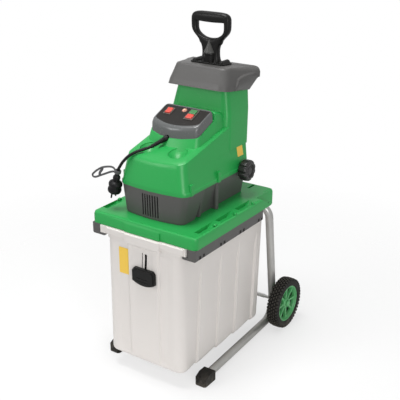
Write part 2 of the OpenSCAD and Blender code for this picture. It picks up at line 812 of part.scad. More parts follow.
// Spoked wheel centre with a dished web and a bored boss
module wheel_hub() {
    rim_r = rim_d / 2;
    hw = wheel_w / 2;
    color(green) translate([wheel_in + hw, axle_y, axle_z]) rotate([0, 90, 0]) difference() {
        union() {
            rotate_extrude() polygon([
                [rim_r - 9, -hw + 5], [rim_r - 5, -hw + 3], [rim_r, -hw + 3], [rim_r, hw - 3], [rim_r - 3, hw - 3],
                [rim_r - 9, hw - 9]]);
            rotate_extrude() polygon([
                [0, -hw + 0.5], [hub_boss_r, -hw + 0.5], [hub_boss_r + 2, -4], [hub_boss_r + 2, hw - 9],
                [hub_boss_r - 3, hw - 5], [0, hw - 5]]);
            for (i = [0:spoke_count - 1])
                rotate(360 * (i + 0.5) / spoke_count)
                    translate([0, 0, -4])
                        linear_extrude(hw - 6)
                            polygon([[hub_boss_r - 2, -7], [rim_r - 4, -5], [rim_r - 4, 5], [hub_boss_r - 2, 7]]);
            translate([0, 0, -5]) cylinder(h = 4, r = rim_r - 5);
        }
        translate([0, 0, -wheel_w]) cylinder(h = 2 * wheel_w, r = axle_d / 2 + run_gap);
    }
}

module wheel_hub_left() {
    mirror([1, 0, 0]) wheel_hub();
}

module wheel_hub_right() {
    wheel_hub();
}

// Tyre with staggered shoulder grooves
module tyre() {
    r = wheel_d / 2;
    hw = wheel_w / 2;
    in = rim_d / 2 + run_gap;
    groove = 5;
    color(black) translate([wheel_in + hw, axle_y, axle_z]) rotate([0, 90, 0]) difference() {
        rotate_extrude($fn = 96) polygon([
            [in, -hw + 2], [in + 4, -hw], [r - 9, -hw], [r - 2, -hw + 4], [r, -hw + 9], [r, hw - 9], [r - 2, hw - 4],
            [r - 9, hw], [in + 4, hw], [in, hw - 2]]);
        for (side = [-1, 1], i = [0:tread_count - 1])
            rotate(360 * (i + side / 4) / tread_count)
                translate([r - 4, -groove / 2, side > 0 ? 3 : -hw - 1]) cube([10, groove, hw - 2]);
    }
}

module tyre_left() {
    mirror([1, 0, 0]) tyre();
}

module tyre_right() {
    tyre();
}

// Upright flutes in the bin's sides, each with a runout near the rim that rounds its top
module bin_flutes(grow) {
    flute_r = 70;
    lean = (bin_top_w - bin_floor_w) / 2 / (bin_top + rim_t - bin_z - 13);
    runout = 0.2;
    z0 = bin_z - 40;
    z1 = rail_z - 54;
    run = bin_rear - bin_front;
    foot_x = bin_floor_w / 2 + flute_r - flute_depth - grow - lean * (bin_z - z0);
    top_x = foot_x + lean * (z1 - z0);
    both_sides()
        for (i = [0:flute_count - 1]) {
            y = bin_front + run * (i + 0.72) / (flute_count + 0.35);
            rod([foot_x, y, z0], [top_x + lean * 7, y, z1 + 7], flute_r);
            rod([top_x - runout * 8, y, z1 - 8], [top_x + runout * 90, y, z1 + 90], flute_r);
        }
}

module bin() {
    top_hw = bin_top_w / 2;
    low_hw = bin_floor_w / 2;
    r = 18;
    rows = [
        [low_hw - 8, low_hw - 8, bin_front + 8, bin_floor_rear - 8, r - 6, r - 6, 0, bin_z, 0],
        [low_hw - 2, low_hw - 2, bin_front + 2, bin_floor_rear - 2, r - 1, r - 1, 0, bin_z + 5, 0],
        [low_hw, low_hw, bin_front, bin_floor_rear, r, r, 0, bin_z + 13, 0],
        [top_hw, top_hw, bin_front, bin_rear, r, r, 0, bin_top + rim_t, 0]
    ];
    lip_z = rail_z - 2;
    color(pale) difference() {
        union() {
            difference() {
                loft(rows);
                bin_flutes(0);
            }
            both_sides() {
                block([top_hw - 4, bin_front + 6, bin_top], [rim_w / 2, rim_rear, bin_top + rim_t]);
                block([rim_w / 2 - 3, bin_front + 6, bin_top], [rim_w / 2, rim_rear, bin_top + rim_up]);
            }
            block([-rim_w / 2, bin_front - 2, bin_top + 2], [rim_w / 2, bin_front + 8, skirt_z - 1.2]);
            block([-front_lip_hw, bin_front - 3.5, lip_z], [front_lip_hw, bin_front + 4, lip_z + 26]);
            block(
                [-front_panel_hw, bin_front - front_panel_t, bin_z + 16],
                [front_panel_hw, bin_front + 4, lip_z + 5]);
        }
        difference() {
            loft(concat(
                [drawn_in(rows[1], bin_wall, bin_wall), drawn_in(rows[2], bin_wall, 0)],
                [drawn_in(rows[3], bin_wall, 0), drawn_in(rows[3], bin_wall, 40)]));
            bin_flutes(bin_wall);
        }
        block([-rim_w, rim_rear, rear_drop_z], [rim_w, bin_rear + 20, bin_top + 60]);
        block(
            [latch_x - slot_w / 2, bin_front - 10, latch_neck_z - 1],
            [latch_x + slot_w / 2, bin_front + 10, slot_top]);
        block(
            [latch_x - slot_w / 2 - 11, bin_front - 10, latch_neck_z + 2],
            [latch_x - slot_w / 2 - 9, bin_front - 0.8, slot_top + 2]);
    }
}

// Sliding latch: a thumb block outside, a neck through the slot and a finger that reaches behind the skirt
module bin_latch() {
    back = bin_front - front_panel_t - slide_gap;
    front = bin_front - front_panel_t - latch_t;
    neck_hw = slot_w / 2 - slide_gap;
    low = latch_z - latch_h / 2;
    high = latch_z + latch_h / 2;
    hw = latch_w / 2;
    latch_bow = 8;
    arc_r = (hw * hw + latch_bow * latch_bow) / (2 * latch_bow);
    color(black) {
        difference() {
            union() {
                along_y(front + 3, back) intersection() {
                    polygon([[-hw, low], [hw, low], [hw, high - 7], [hw - 7, high], [7 - hw, high], [-hw, high - 7]]);
                    translate([0, low + arc_r]) circle(arc_r, $fn = 128);
                }
                along_y(front, front + 4) intersection() {
                    polygon([
                        [3 - hw, low + 3], [hw - 3, low + 3], [hw - 3, high - 9], [hw - 9, high - 3],
                        [9 - hw, high - 3], [3 - hw, high - 9]]);
                    translate([0, low + arc_r]) circle(arc_r - 3, $fn = 128);
                }
            }
            block([-hw / 2, front - 1, low + 10], [hw / 2, front + 2, low + 13]);
            block([-hw / 2, front - 1, low + 17], [hw / 2, front + 2, low + 20]);
        }
        block(
            [latch_x - neck_hw, back - 1, latch_neck_z],
            [latch_x + neck_hw, finger_y + 1, latch_neck_z + latch_neck_h]);
        block(
            [latch_x - finger_hw, finger_y, latch_neck_z - 6],
            [latch_x + finger_hw, finger_y + finger_t, finger_top]);
    }
}

// Bin interlock switch behind the deck's skirt, above the latch finger
module safety_switch() {
    y = deck_front + deck_wall;
    low = finger_top + latch_travel + 3;
    color(black) {
        block([latch_x - 11, y, low], [latch_x + 11, finger_y + finger_t + 3, low + 15]);
        translate([latch_x, finger_y + finger_t / 2, low - 2]) cylinder(h = 4, r = 2.5);
    }
}

// Motor base: shell, floor with the discharge opening, motor cradle, screw posts and the front grille
module motor_base() {
    pitch = 8.6;
    grille_low = deck_top + 8;
    grille_high = seam_z - 11;
    cradle_y = [motor_front + 22, motor_rear - 26];
    opening_hw = chamber_hw - 2;
    color(dark_grey) difference() {
        union() {
            difference() {
                union() {
                    loft(base_rows);
                    intersection() {
                        loft(cheek_rows);
                        along_x(-seam_w, seam_w)
                            polygon([
                                [2 * housing_front, deck_top - 1], [-172, deck_top - 1], [-134, seam_z + 1],
                                [2 * housing_front, seam_z + 1]]);
                    }
                }
                loft(concat(
                    [drawn_in(base_rows[0], shell, shell + 1), drawn_in(base_rows[1], shell, 2)],
                    [drawn_in(base_rows[2], shell, 0), drawn_in(base_rows[2], shell, 5)]));
            }
            for (p = posts)
                translate([p.x, p.y, deck_top + 1]) cylinder(h = base_h - 1 - eps, r = post_r);
            both_sides()
                for (p = posts)
                    block([abs(p.x), p.y - 2, deck_top + 6], [base_w / 2 - cheek - 1.5, p.y + 2, seam_z - eps]);
            for (y = cradle_y)
                difference() {
                    block([motor_x - 46, y - 3, deck_top + 1], [motor_x + 46, y + 3, motor_z - 20]);
                    rod_y(motor_x, motor_z, y - 10, y + 10, motor_r + run_gap);
                }
            both_sides() {
                translate([seam_w / 2 - 7, tab_y, deck_top + 0.5]) cylinder(h = base_h - 1, r = 7);
                block(
                    [base_w / 2 - cheek - 1.5, tab_y - 5, deck_top + 0.5],
                    [seam_w / 2 - 6, tab_y + 5, seam_z - 0.5]);
            }
        }
        for (i = [0:grille_count - 1])
            translate([(i - (grille_count - 1) / 2) * pitch - grille_slot / 2, housing_front - 40, grille_low])
                cube([grille_slot, 60, grille_high - grille_low]);
        block([-opening_hw, chamber_front + plate_t, deck_top - 1], [opening_hw, chamber_rear - plate_t, floor_z + 1]);
        for (p = posts)
            translate([p.x, p.y, deck_top - 1]) {
                cylinder(h = 46, r = 5.2);
                cylinder(h = base_h + 10, r = cowl_screw_r + run_gap);
            }
        rod_x(screw_y, screw_z, seam_w / 2 - 20, seam_w / 2 + 20, screw_r + 3);
    }
}

// Round scoops in the slope, in front of the panel's pedestal
module scoops(grow) {
    both_sides()
        translate([scoop_x, scoop_y, scoop_z - grow]) cylinder(h = 60, r = scoop_r + grow);
}

// Green upper housing: sloped body, panel pedestal and the neck that carries the hood
module motor_cowl() {
    boss_h = 24;
    web_x = seam_w / 2 - 4;
    color(green) difference() {
        union() {
            difference() {
                union() {
                    difference() {
                        loft(body_rows);
                        scoops(0);
                    }
                    loft(neck_rows);
                    loft(pedestal_rows);
                    loft(saddle_rows);
                }
                difference() {
                    loft(concat(
                        [drawn_in(body_rows[0], shell + lip_out, -5), drawn_in(body_rows[2], shell, -1)],
                        [for (k = [3:6]) drawn_in(body_rows[k], shell, -shell)]));
                    scoops(shell);
                }
                loft(concat(
                    [drawn_in(neck_rows[0], shell, 0), drawn_in(neck_rows[1], shell, 0)],
                    [drawn_in(neck_rows[2], shell, 0), drawn_in(neck_rows[2], shell, 20)]));
                loft([
                    drawn_in(pedestal_rows[0], shell, -shell),
                    shortened(drawn_in(pedestal_rows[1], shell + 1, 0), bezel_rear),
                    shortened(drawn_in(pedestal_rows[1], shell + 1, 6), bezel_rear)]);
                loft([drawn_in(saddle_rows[0], shell + 3, -25), drawn_in(saddle_rows[2], shell, -shell)]);
            }
            for (p = posts)
                translate([p.x, p.y, seam_z + eps]) cylinder(h = boss_h, r = post_r);
            both_sides() {
                for (p = posts)
                    block([abs(p.x), p.y - 2, seam_z + eps], [web_x, p.y + 2, seam_z + boss_h]);
                for (y = tabs)
                    block([web_x - 8, y - 6, seam_z], [lip_hw + tab_out, y + 6, seam_z + tab_h]);
            }
        }
        for (p = posts)
            translate([p.x, p.y, seam_z - 1]) cylinder(h = boss_h - 4, r = cowl_screw_r + run_gap);
        rod_x(screw_y, screw_z, seam_w / 2 - 20, seam_w / 2 + 20, screw_r + 3);
        gland_hole();
    }
}

module cowl_screws() {
    head_z = deck_top + 45 - 4;
    color(steel)
        for (p = posts)
            translate([p.x, p.y, head_z]) {
                cylinder(h = 4 - run_gap, r = 4.8);
                cylinder(h = seam_z + 18 - head_z, r = cowl_screw_r);
            }
}

// Hood with its recessed seat for the pusher and the chute down to the cutter
module hopper_hood() {
    seat_hw = throat_w / 2 + 8;
    seat_hd = throat_d / 2 + 5;
    floor_t = 3;
    color(dark_grey) difference() {
        union() {
            difference() {
                loft(hood_rows);
                loft([
                    drawn_in(hood_rows[0], chute_wall, floor_t), drawn_in(hood_rows[1], chute_wall, 0),
                    drawn_in(hood_rows[2], chute_wall + 1, -2), drawn_in(hood_rows[4], chute_wall + 2, -4)]);
                loft([drawn_in(neck_rows[2], shell + 5, -3), drawn_in(neck_rows[2], shell + 5, 9)]);
            }
            loft([for (s = chute_rows) drawn_in(s, -chute_wall, 0)]);
            block(
                [-seat_hw - 3, throat_y - seat_hd - 3, seat_z - 4],
                [seat_hw + 3, throat_y + seat_hd + 3, seat_z + 2]);
        }
        loft([drawn_in(chute_rows[0], 0, -5), chute_rows[0], chute_rows[1], drawn_in(chute_rows[1], 0, 30)]);
        block(
            [-seat_hw, throat_y - seat_hd, seat_z],
            [seat_hw, throat_y + seat_hd, hood_top + 20]);
    }
}

// Pusher: plunger, ears that rest in the hood, waisted neck and D handle
module pusher() {
    low = seat_z + slide_gap;
    top_z = low + handle_h - grip_d / 2;
    arm_r = 11;
    arm_x = handle_w / 2 - arm_r;
    ear_hw = throat_w / 2 + 5;
    plunger_hw = throat_w / 2 - 3;
    y = throat_y;
    stem_hw = 31;
    loop = [
        [6 - stem_hw, y, low + 46], [-arm_x, y, low + 86], [-arm_x, y, top_z], [arm_x, y, top_z],
        [arm_x, y, low + 86], [stem_hw - 6, y, low + 46]
    ];
    fork = [
        [stem_hw + 2, 44], [arm_x - 12, 62], [arm_x, 80], [arm_x + 5, 94], [arm_x - 9, 108], [arm_x - 14.5, 100],
        [arm_x - 20, 94], [arm_x - 28, 88.5], [arm_x - 40, 83.5]
    ];
    color(black) {
        difference() {
            loft([
                [plunger_hw - 2, plunger_hw - 2, y - 14, y + 14, 4, 4, 0, low - plunger_l, 0],
                [plunger_hw, plunger_hw, y - 14, y + 14, 4, 4, 0, low + 3, 0]]);
            for (side = [-1, 1])
                block(
                    [14 - plunger_hw, y + side * 14 - 6, low - plunger_l + 12],
                    [plunger_hw - 14, y + side * 14 + 6, low - 16]);
        }
        loft([
            [ear_hw, ear_hw, y - 16, y + 16, 8, 8, 0, low, 0], [ear_hw, ear_hw, y - 16, y + 16, 8, 8, 0, low + 6, 0],
            [ear_hw - 5, ear_hw - 5, y - 14, y + 14, 7, 7, 0, low + 10, 0],
            [stem_hw + 6, stem_hw + 6, y - 14, y + 14, 7, 7, 0, low + 14, 0],
            [stem_hw + 2.5, stem_hw + 2.5, y - 13.6, y + 13.6, 7, 7, 0, low + 24, 0],
            [stem_hw, stem_hw, y - 13, y + 13, 6, 6, 0, low + 40, 0],
            [stem_hw + 2, stem_hw + 2, y - 12, y + 12, 5, 5, 0, low + 54, 0],
            [stem_hw + 10, stem_hw + 10, y - 10.4, y + 10.4, 4, 4, 0, low + 66, 0]]);
        loft([
            [21, 21, y - 16.4, y + 16.4, 15, 15, 0, low + 4, 0], [21, 21, y - 16.4, y + 16.4, 15, 15, 0, low + 34, 0],
            [22.4, 22.4, y - 17.8, y + 17.8, 16, 16, 0, low + 36, 0],
            [22.4, 22.4, y - 17.8, y + 17.8, 16, 16, 0, low + 39, 0],
            [20, 20, y - 16, y + 16, 14, 14, 0, low + 41, 0], [4, 4, y - 9, y + 9, 3, 3, 0, low + 67, 0]]);
        along_y(y - 9.5, y + 9.5)
            polygon(concat(
                [for (p = fork) [p.x, low + p.y]], [[0, low + 81.5]],
                [for (k = [len(fork) - 1:-1:0]) [-fork[k].x, low + fork[k].y]]));
        swept(bent_route(loop, [30, 22, 22, 30], 5), [0, 1, 0], arm_r + 1, arm_r, 14);
        swept(
            [[[-34, y, top_z], [1, 0, 0]], [[-29, y, top_z], [1, 0, 0]], [[29, y, top_z], [1, 0, 0]],
                [[34, y, top_z], [1, 0, 0]]],
            [0, 1, 0], grip_d / 2 - 0.6, grip_d / 2, 20);
    }
}

// Bezel round the control panel
module plate_shape(grow) {
    hw = panel_hw + grow;
    front = 3 - grow;
    rear = 3 + panel_l + grow;
    cut = 9;
    polygon(concat(
        [[hw, rear], [-hw, rear], [-hw, front + cut]],
        [for (k = [-4:4]) [(hw - cut) * k / 4, front - plate_bow * (1 - k * k / 16)]],
        [[hw, front + cut]]));
}

module panel_bezel() {
    recess = 0.65;
    ledge = 3;
    color(dark_grey) difference() {
        loft(bezel_rows);
        loft([drawn_in(bezel_rows[0], 3, -4), drawn_in(bezel_rows[1], 3, 0), drawn_in(bezel_rows[2], 3.5, -3)]);
        on_panel() translate([0, 0, -plate_thick - recess]) linear_extrude(20) plate_shape(plate_gap);
        on_panel() translate([ledge - panel_hw, 3 + ledge, -2 * bezel_h])
            cube([2 * (panel_hw - ledge), panel_l - 2 * ledge, 3 * bezel_h]);
        gland_hole();
    }
}

module switch_hole(u, hw, hl) {
    translate([u - hw, switch_v - hl, -40]) cube([2 * hw, 2 * hl, 80]);
}

module panel_plate() {
    color(black) on_panel() difference() {
        translate([0, 0, -plate_thick - 0.6]) linear_extrude(plate_thick) plate_shape(0);
        switch_hole(rocker_u, rocker_hw + 2.2, rocker_hl + 3.2);
        switch_hole(power_u, button_w / 2 + 2.2, button_l + 5.2);
        translate([breaker_u, breaker_v, -10]) cylinder(h = 20, r = 6);
    }
}

// Switch block with a raised frame and a well for each key
module switch_block(u, hw, hl, wells, well_hw, well_hl) {
    translate([u, switch_v, 0]) difference() {
        union() {
            translate([-hw - 2, -hl - 2, -switch_depth]) cube([2 * hw + 4, 2 * hl + 4, switch_depth]);
            translate([-hw - frame_rim, -hl - frame_rim, -0.55])
                cube([2 * (hw + frame_rim), 2 * (hl + frame_rim), 2.2]);
        }
        for (v = wells)
            translate([-well_hw, v - well_hl, -8]) cube([2 * well_hw, 2 * well_hl, 20]);
    }
}

module direction_switch() {
    color(black) on_panel()
        switch_block(rocker_u, rocker_hw, rocker_hl + 1, [0], rocker_hw + slide_gap, rocker_hl + 1);
}

module direction_rocker() {
    color(red) on_panel() translate([rocker_u, switch_v, 0])
        along_x(-rocker_hw, rocker_hw)
            polygon([[-rocker_hl, -4], [0, -6], [rocker_hl, -4], [rocker_hl, 4.4], [0, 2.6], [-rocker_hl, 4.4]]);
}

module power_switch() {
    color(pale) on_panel()
        switch_block(power_u, button_w / 2, button_l + 3, [-button_l / 2 - 1, button_l / 2 + 1],
            button_w / 2 + slide_gap, button_l / 2 + slide_gap);
}

module push_button(v) {
    hw = button_w / 2;
    hl = button_l / 2;
    rows = [
        [hw, hw, -hl, hl, 1.5, 1.5, 0, -4.5, 0], [hw, hw, -hl, hl, 1.5, 1.5, 0, 4, 0],
        [hw - 1.2, hw - 1.2, 1.2 - hl, hl - 1.2, 1.2, 1.2, 0, 5.2, 0]
    ];
    on_panel() translate([power_u, switch_v + v, 0]) loft(rows);
}

module on_button() {
    color(green) push_button(button_l / 2 + 1);
}

module off_button() {
    color(red) push_button(-button_l / 2 - 1);
}

module overload_breaker() {
    color(black) on_panel() translate([breaker_u, breaker_v, 0]) difference() {
        translate([0, 0, -switch_depth]) cylinder(h = switch_depth - plate_thick - 0.7, r = 9);
        translate([0, 0, -12]) cylinder(h = 20, r = 4.5 + run_gap);
    }
}

module reset_button() {
    color(pale) on_panel() translate([breaker_u, breaker_v, -7]) cylinder(h = 10, r = 4.5);
}

// Scalloped hand knob and its screw
module adjuster_knob() {
    scallop_r = knob_d * 0.085;
    color(black) translate([knob_in, screw_y, screw_z]) rotate([0, 90, 0]) difference() {
        rotate_extrude($fn = 96) polygon([
            [0, 0], [knob_d / 2 - 8, 0], [knob_d / 2 - 2, 4], [knob_d / 2, 8], [knob_d / 2, knob_t - 7],
            [knob_d / 2 - 4, knob_t - 2], [knob_d / 2 - 9, knob_t], [knob_d / 2 - 13, knob_t],
            [knob_d / 2 - 16, knob_t - 4], [0, knob_t - 4]]);
        for (i = [0:knob_scallops - 1])
            rotate(360 * i / knob_scallops)
                translate([knob_d / 2 + scallop_r * 0.35, 0, -1]) cylinder(h = knob_t + 2, r = scallop_r, $fn = 24);
        translate([0, 0, -1]) cylinder(h = knob_t - 9, r = screw_r + run_gap);
    }
}

module adjuster_screw() {
    wall = chamber_hw + plate_t + 4;
    color(steel) {
        rod_x(screw_y, screw_z, press_back - 12, knob_in + knob_t - 12, screw_r);
        rod_x(screw_y, screw_z, wall + slide_gap, wall + 5, screw_r + 4);
    }
}

// Pressing plate with a hollow face round the drum
module pressing_plate() {
    y0 = drum_y0 + 1;
    y1 = drum_y0 + drum_l - 1;
    color(cast) difference() {
        block([press_face - 9, y0, drum_z - 36], [press_back, y1, drum_z + 34]);
        rod_y(drum_x, drum_z, y0 - 1, y1 + 1, drum_r + press_gap);
        rod_x(screw_y, screw_z, press_back - 18, press_back + 1, screw_r + run_gap);
    }
}

// Cast chamber open above and below, bored for the drum bearings and the adjuster screw
module cutter_housing() {
    out_hw = chamber_hw + plate_t;
    y0 = chamber_front;
    y1 = chamber_rear;
    color(cast) difference() {
        union() {
            block([-out_hw, y0, floor_z], [out_hw, y1, chamber_z]);
            rod_x(screw_y, screw_z, out_hw - 1, out_hw + 4, screw_r + 8);
        }
        block([-chamber_hw, y0 + plate_t, floor_z - 1], [chamber_hw, y1 - plate_t, chamber_z + 1]);
        rod_y(drum_x, drum_z, y0 - 1, y1 + 1, bearing_r + run_gap);
        rod_x(screw_y, screw_z, chamber_hw - 1, out_hw + 10, screw_r + run_gap);
    }
}

// Drum with saw-shaped teeth and ring grooves that part the chips
module cutter_drum() {
    step = 360 / drum_teeth;
    root = drum_r - drum_tooth;
    rings = 4;
    color(steel) translate([drum_x, 0, drum_z]) difference() {
        along_y(drum_y0, drum_y0 + drum_l)
            polygon([
                for (i = [0:drum_teeth - 1], p = [[drum_r, 0], [drum_r - 1, 0.16], [root, 0.62], [root, 0.92]])
                    p[0] * [cos(step * (i + p[1])), sin(step * (i + p[1]))]]);
        for (k = [1:rings])
            translate([0, drum_y0 + drum_l * k / (rings + 1), 0]) rotate([90, 0, 0])
                rotate_extrude() polygon([[root - 0.5, 0], [drum_r + 2, -3], [drum_r + 2, 3]]);
        along_y(drum_y0 - 1, drum_y0 + drum_l + 1) circle(shaft_r + run_gap);
    }
}

module drum_shaft() {
    color(steel) {
        rod_y(drum_x, drum_z, gear2_y - 2, chamber_rear - 1, shaft_r);
        rod_y(drum_x, drum_z, drum_y0 - drum_rest + 0.3, drum_y0 - 0.1, shaft_r + 3);
        rod_y(drum_x, drum_z, drum_y0 + drum_l + 0.1, drum_y0 + drum_l + drum_rest - 0.3, shaft_r + 3);
    }
}

module bearing(y0) {
    color(steel) translate([drum_x, y0, drum_z]) rotate([-90, 0, 0]) rotate_extrude() polygon([
        [shaft_r + run_gap, 0], [shaft_r + 3, 0], [shaft_r + 3, 0.8], [bearing_r - 3, 0.8], [bearing_r - 3, 0],
        [bearing_r, 0], [bearing_r, bearing_w], [bearing_r - 3, bearing_w], [bearing_r - 3, bearing_w - 0.8],
        [shaft_r + 3, bearing_w - 0.8], [shaft_r + 3, bearing_w], [shaft_r + run_gap, bearing_w]]);
}

module drum_bearing_front() {
    bearing(chamber_front + plate_t - bearing_w);
}

module drum_bearing_rear() {
    bearing(chamber_rear - plate_t);
}

module drum_gear() {
    color(steel) along_y(gear2_y, gear2_y + gear_face) translate([drum_x, drum_z]) difference() {
        gear(stage2_module, wheel_teeth, stage2_dir);
        circle(shaft_r + run_gap);
        for (i = [0:5]) rotate(60 * i) translate([(gear2_tip + shaft_r) / 2, 0]) circle(9);
    }
}

// Wheel of the motor stage and pinion of the drum stage on one shaft
module intermediate_gear() {
    color(steel) {
        along_y(gear1_y, gear1_y + gear_face) translate([mid_x, mid_z])
            gear(stage1_module, wheel_teeth, stage1_dir);
        along_y(gear1_y + gear_face - eps, gear2_y + gear_face) translate([mid_x, mid_z])
            gear(stage2_module, pinion_teeth, stage2_dir + 180 + 180 / pinion_teeth);
        rod_y(mid_x, mid_z, case_y + 1, cover_y + cover_t - 0.5, mid_shaft_r);
    }
}

module gear_space(grow) {
    translate([drum_x, drum_z]) circle(gear2_tip + grow);
    translate([mid_x, mid_z]) circle(gear1_tip + grow);
}

module gearbox_case() {
    foot_hw = 30;
    color(cast) difference() {
        union() {
            along_y(case_y, cover_y) gear_space(gear_room + case_wall);
            block([drum_x - foot_hw, case_y + 6, floor_z], [drum_x + foot_hw, cover_y - 6, drum_z - gear2_tip]);
        }
        along_y(case_y + 6, cover_y + 1) gear_space(gear_room);
        rod_y(mid_x, mid_z, case_y - 1, case_y + 10, mid_shaft_r + run_gap);
        rod_y(motor_x, motor_z, case_y - 1, case_y + 10, motor_shaft_d / 2 + run_gap);
    }
}

module gearbox_cover() {
    color(cast) difference() {
        along_y(cover_y, cover_y + cover_t) gear_space(gear_room + case_wall);
        rod_y(drum_x, drum_z, cover_y - 1, cover_y + cover_t + 1, shaft_r + run_gap);
        rod_y(mid_x, mid_z, cover_y - 1, cover_y + cover_t + 1, mid_shaft_r + run_gap);
    }
}

module motor_can() {
    color(steel) difference() {
        rod_y(motor_x, motor_z, motor_front + shield_t, motor_rear, motor_r);
        rod_y(motor_x, motor_z, motor_front, motor_rear - shield_t, motor_r - can_wall);
        rod_y(motor_x, motor_z, motor_front, motor_rear + 1, motor_shaft_d / 2 + run_gap);
    }
}

module motor_end_shield() {
    vents = 6;
    color(cast) difference() {
        rod_y(motor_x, motor_z, motor_front, motor_front + shield_t, motor_r);
        rod_y(motor_x, motor_z, motor_front - 1, motor_front + shield_t + 1, motor_shaft_d / 2 + run_gap);
        for (i = [0:vents - 1])
            rod_y(motor_x + 33 * cos(60 * i), motor_z + 33 * sin(60 * i),
                motor_front - 1, motor_front + shield_t + 1, 10);
    }
}

module motor_stator() {
    slots = 12;
    y0 = motor_front + shield_t + 16;
    y1 = motor_rear - shield_t - 16;
    mouth = 0.4;
    color(steel) along_y(y0, y1) translate([motor_x, motor_z]) difference() {
        circle(motor_r - can_wall - run_gap);
        circle(stator_in);
        for (i = [0:slots - 1])
            rotate(360 * i / slots) translate([stator_in - mouth, -4]) square([12, 8]);
    }
}

module motor_rotor() {
    y0 = motor_front + shield_t + 14;
    y1 = motor_rear - shield_t - 14;
    pinion_y = gear1_y;
    color(steel) {
        rod_y(motor_x, motor_z, y0, y1, stator_in - 0.6);
        rod_y(motor_x, motor_z, fan_y - 8, pinion_y + eps, motor_shaft_d / 2);
        along_y(pinion_y, pinion_y + gear_face) translate([motor_x, motor_z])
            gear(stage1_module, pinion_teeth, stage1_dir + 180 / pinion_teeth + 180);
    }
}

// Radial fan on the motor's front shaft end
module cooling_fan() {
    hub_r = motor_shaft_d / 2 + 7;
    color(black) difference() {
        union() {
            rod_y(motor_x, motor_z, fan_y - 8, fan_y + 10, hub_r);
            rod_y(motor_x, motor_z, fan_y + 8, fan_y + 10, fan_d / 2);
            for (i = [0:fan_blades - 1])
                along_y(fan_y - 6, fan_y + 9) translate([motor_x, motor_z])
                    rotate(360 * i / fan_blades) translate([hub_r - 2, -1]) square([fan_d / 2 - hub_r, 2]);
        }
        rod_y(motor_x, motor_z, fan_y - 9, fan_y + 11, motor_shaft_d / 2 + run_gap);
    }
}

module capacitor() {
    r = 17;
    color(steel) rod_y(-base_w / 2 + 27, floor_z + r + run_gap, -160, -98, r);
}

// Strain relief, cord, plug and strap
module on_gland() {
    d = unit(relief_end - gland_exit);
    u = unit(cross(d, [0, 0, 1]));
    oriented(gland_exit, u, cross(d, u), d) children();
}

module gland_hole() {
    on_gland() translate([0, 0, -20]) cylinder(h = 32, r = gland_r + run_gap);
}

module cord_gland() {
    l = norm(relief_end - gland_exit);
    color(black) on_gland() rotate_extrude() polygon([
        [0, -7], [gland_r, -7], [gland_r, 4], [gland_r - 1, 6], [gland_r - 1.6, 14], [cord_d / 2 + 1.2, l], [0, l]]);
}

module power_cord() {
    color(black)
        swept(route_through(cord_points, relief_end - gland_exit, plug_dir), [1, 0, 0], cord_d / 2, cord_d / 2, 12);
}

module on_plug() {
    u = unit(cross(plug_dir, [0, 1, 0]));
    oriented(plug_top, u, cross(plug_dir, u), plug_dir) children();
}

module plug() {
    r = plug_d / 2;
    pin_r = 2.4;
    body_l = 77;
    color(black) on_plug() {
        rotate_extrude() polygon([
            [0, 0], [cord_d / 2 + 1.5, 0], [sleeve_r, 4], [sleeve_r, 16], [9, 20], [10, 34], [r - 3, 38], [r, 42],
            [r, body_l - 3], [r - 1.5, body_l], [0, body_l]]);
        for (side = [-1, 1])
            translate([0, side * 9.5, body_l - 1]) cylinder(h = 20, r = pin_r);
    }
}

module cord_strap() {
    last = len(strap_points) - 1;
    ends = [strap_points[1] - strap_points[0], strap_points[last] - strap_points[last - 1]];
    collar_r = sleeve_r + 3.5;
    color("#6a6a6a") {
        on_plug() difference() {
            translate([0, 0, 1]) cylinder(h = 9, r = collar_r);
            cylinder(h = 20, r = sleeve_r + run_gap);
        }
        swept(route_through(strap_points, ends[0], ends[1]), [0, 1, 0], strap_w / 2, 1.6, 8);
    }
}

deck();
rail_left();
rail_right();
frame_tube_left();
frame_tube_right();
foot_left();
foot_right();
frame_bolts();
axle();
wheel_spacers();
axle_caps();
wheel_hub_left();
wheel_hub_right();
tyre_left();
tyre_right();
bin();
bin_latch();
safety_switch();
motor_base();
motor_cowl();
cowl_screws();
hopper_hood();
pusher();
panel_bezel();
panel_plate();
direction_switch();
direction_rocker();
power_switch();
on_button();
off_button();
overload_breaker();
reset_button();
adjuster_knob();
adjuster_screw();
pressing_plate();
cutter_housing();
cutter_drum();
drum_shaft();
drum_bearing_front();
drum_bearing_rear();
drum_gear();
intermediate_gear();
gearbox_case();
gearbox_cover();
motor_can();
motor_end_shield();
motor_stator();
motor_rotor();
cooling_fan();
capacitor();
cord_gland();
power_cord();
plug();
cord_strap();
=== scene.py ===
from math import copysign, cos, pi, radians, sin, tan

import bmesh
import bpy
from mathutils import Matrix, Vector


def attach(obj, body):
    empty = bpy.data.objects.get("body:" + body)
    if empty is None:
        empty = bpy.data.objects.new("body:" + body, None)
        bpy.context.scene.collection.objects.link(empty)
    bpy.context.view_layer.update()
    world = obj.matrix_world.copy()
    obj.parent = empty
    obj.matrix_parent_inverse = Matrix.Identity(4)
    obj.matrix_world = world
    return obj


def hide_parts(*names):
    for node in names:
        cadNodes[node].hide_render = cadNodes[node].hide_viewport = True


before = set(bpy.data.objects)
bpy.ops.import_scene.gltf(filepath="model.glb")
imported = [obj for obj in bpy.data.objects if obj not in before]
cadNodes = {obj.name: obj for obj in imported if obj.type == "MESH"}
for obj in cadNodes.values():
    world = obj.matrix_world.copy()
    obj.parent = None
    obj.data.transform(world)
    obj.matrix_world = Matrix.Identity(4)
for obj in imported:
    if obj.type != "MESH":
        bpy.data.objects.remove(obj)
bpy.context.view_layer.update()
scene = bpy.context.scene
mm = 0.001
axleY, axleZ = 214, 84
panelTilt = radians(22.5)

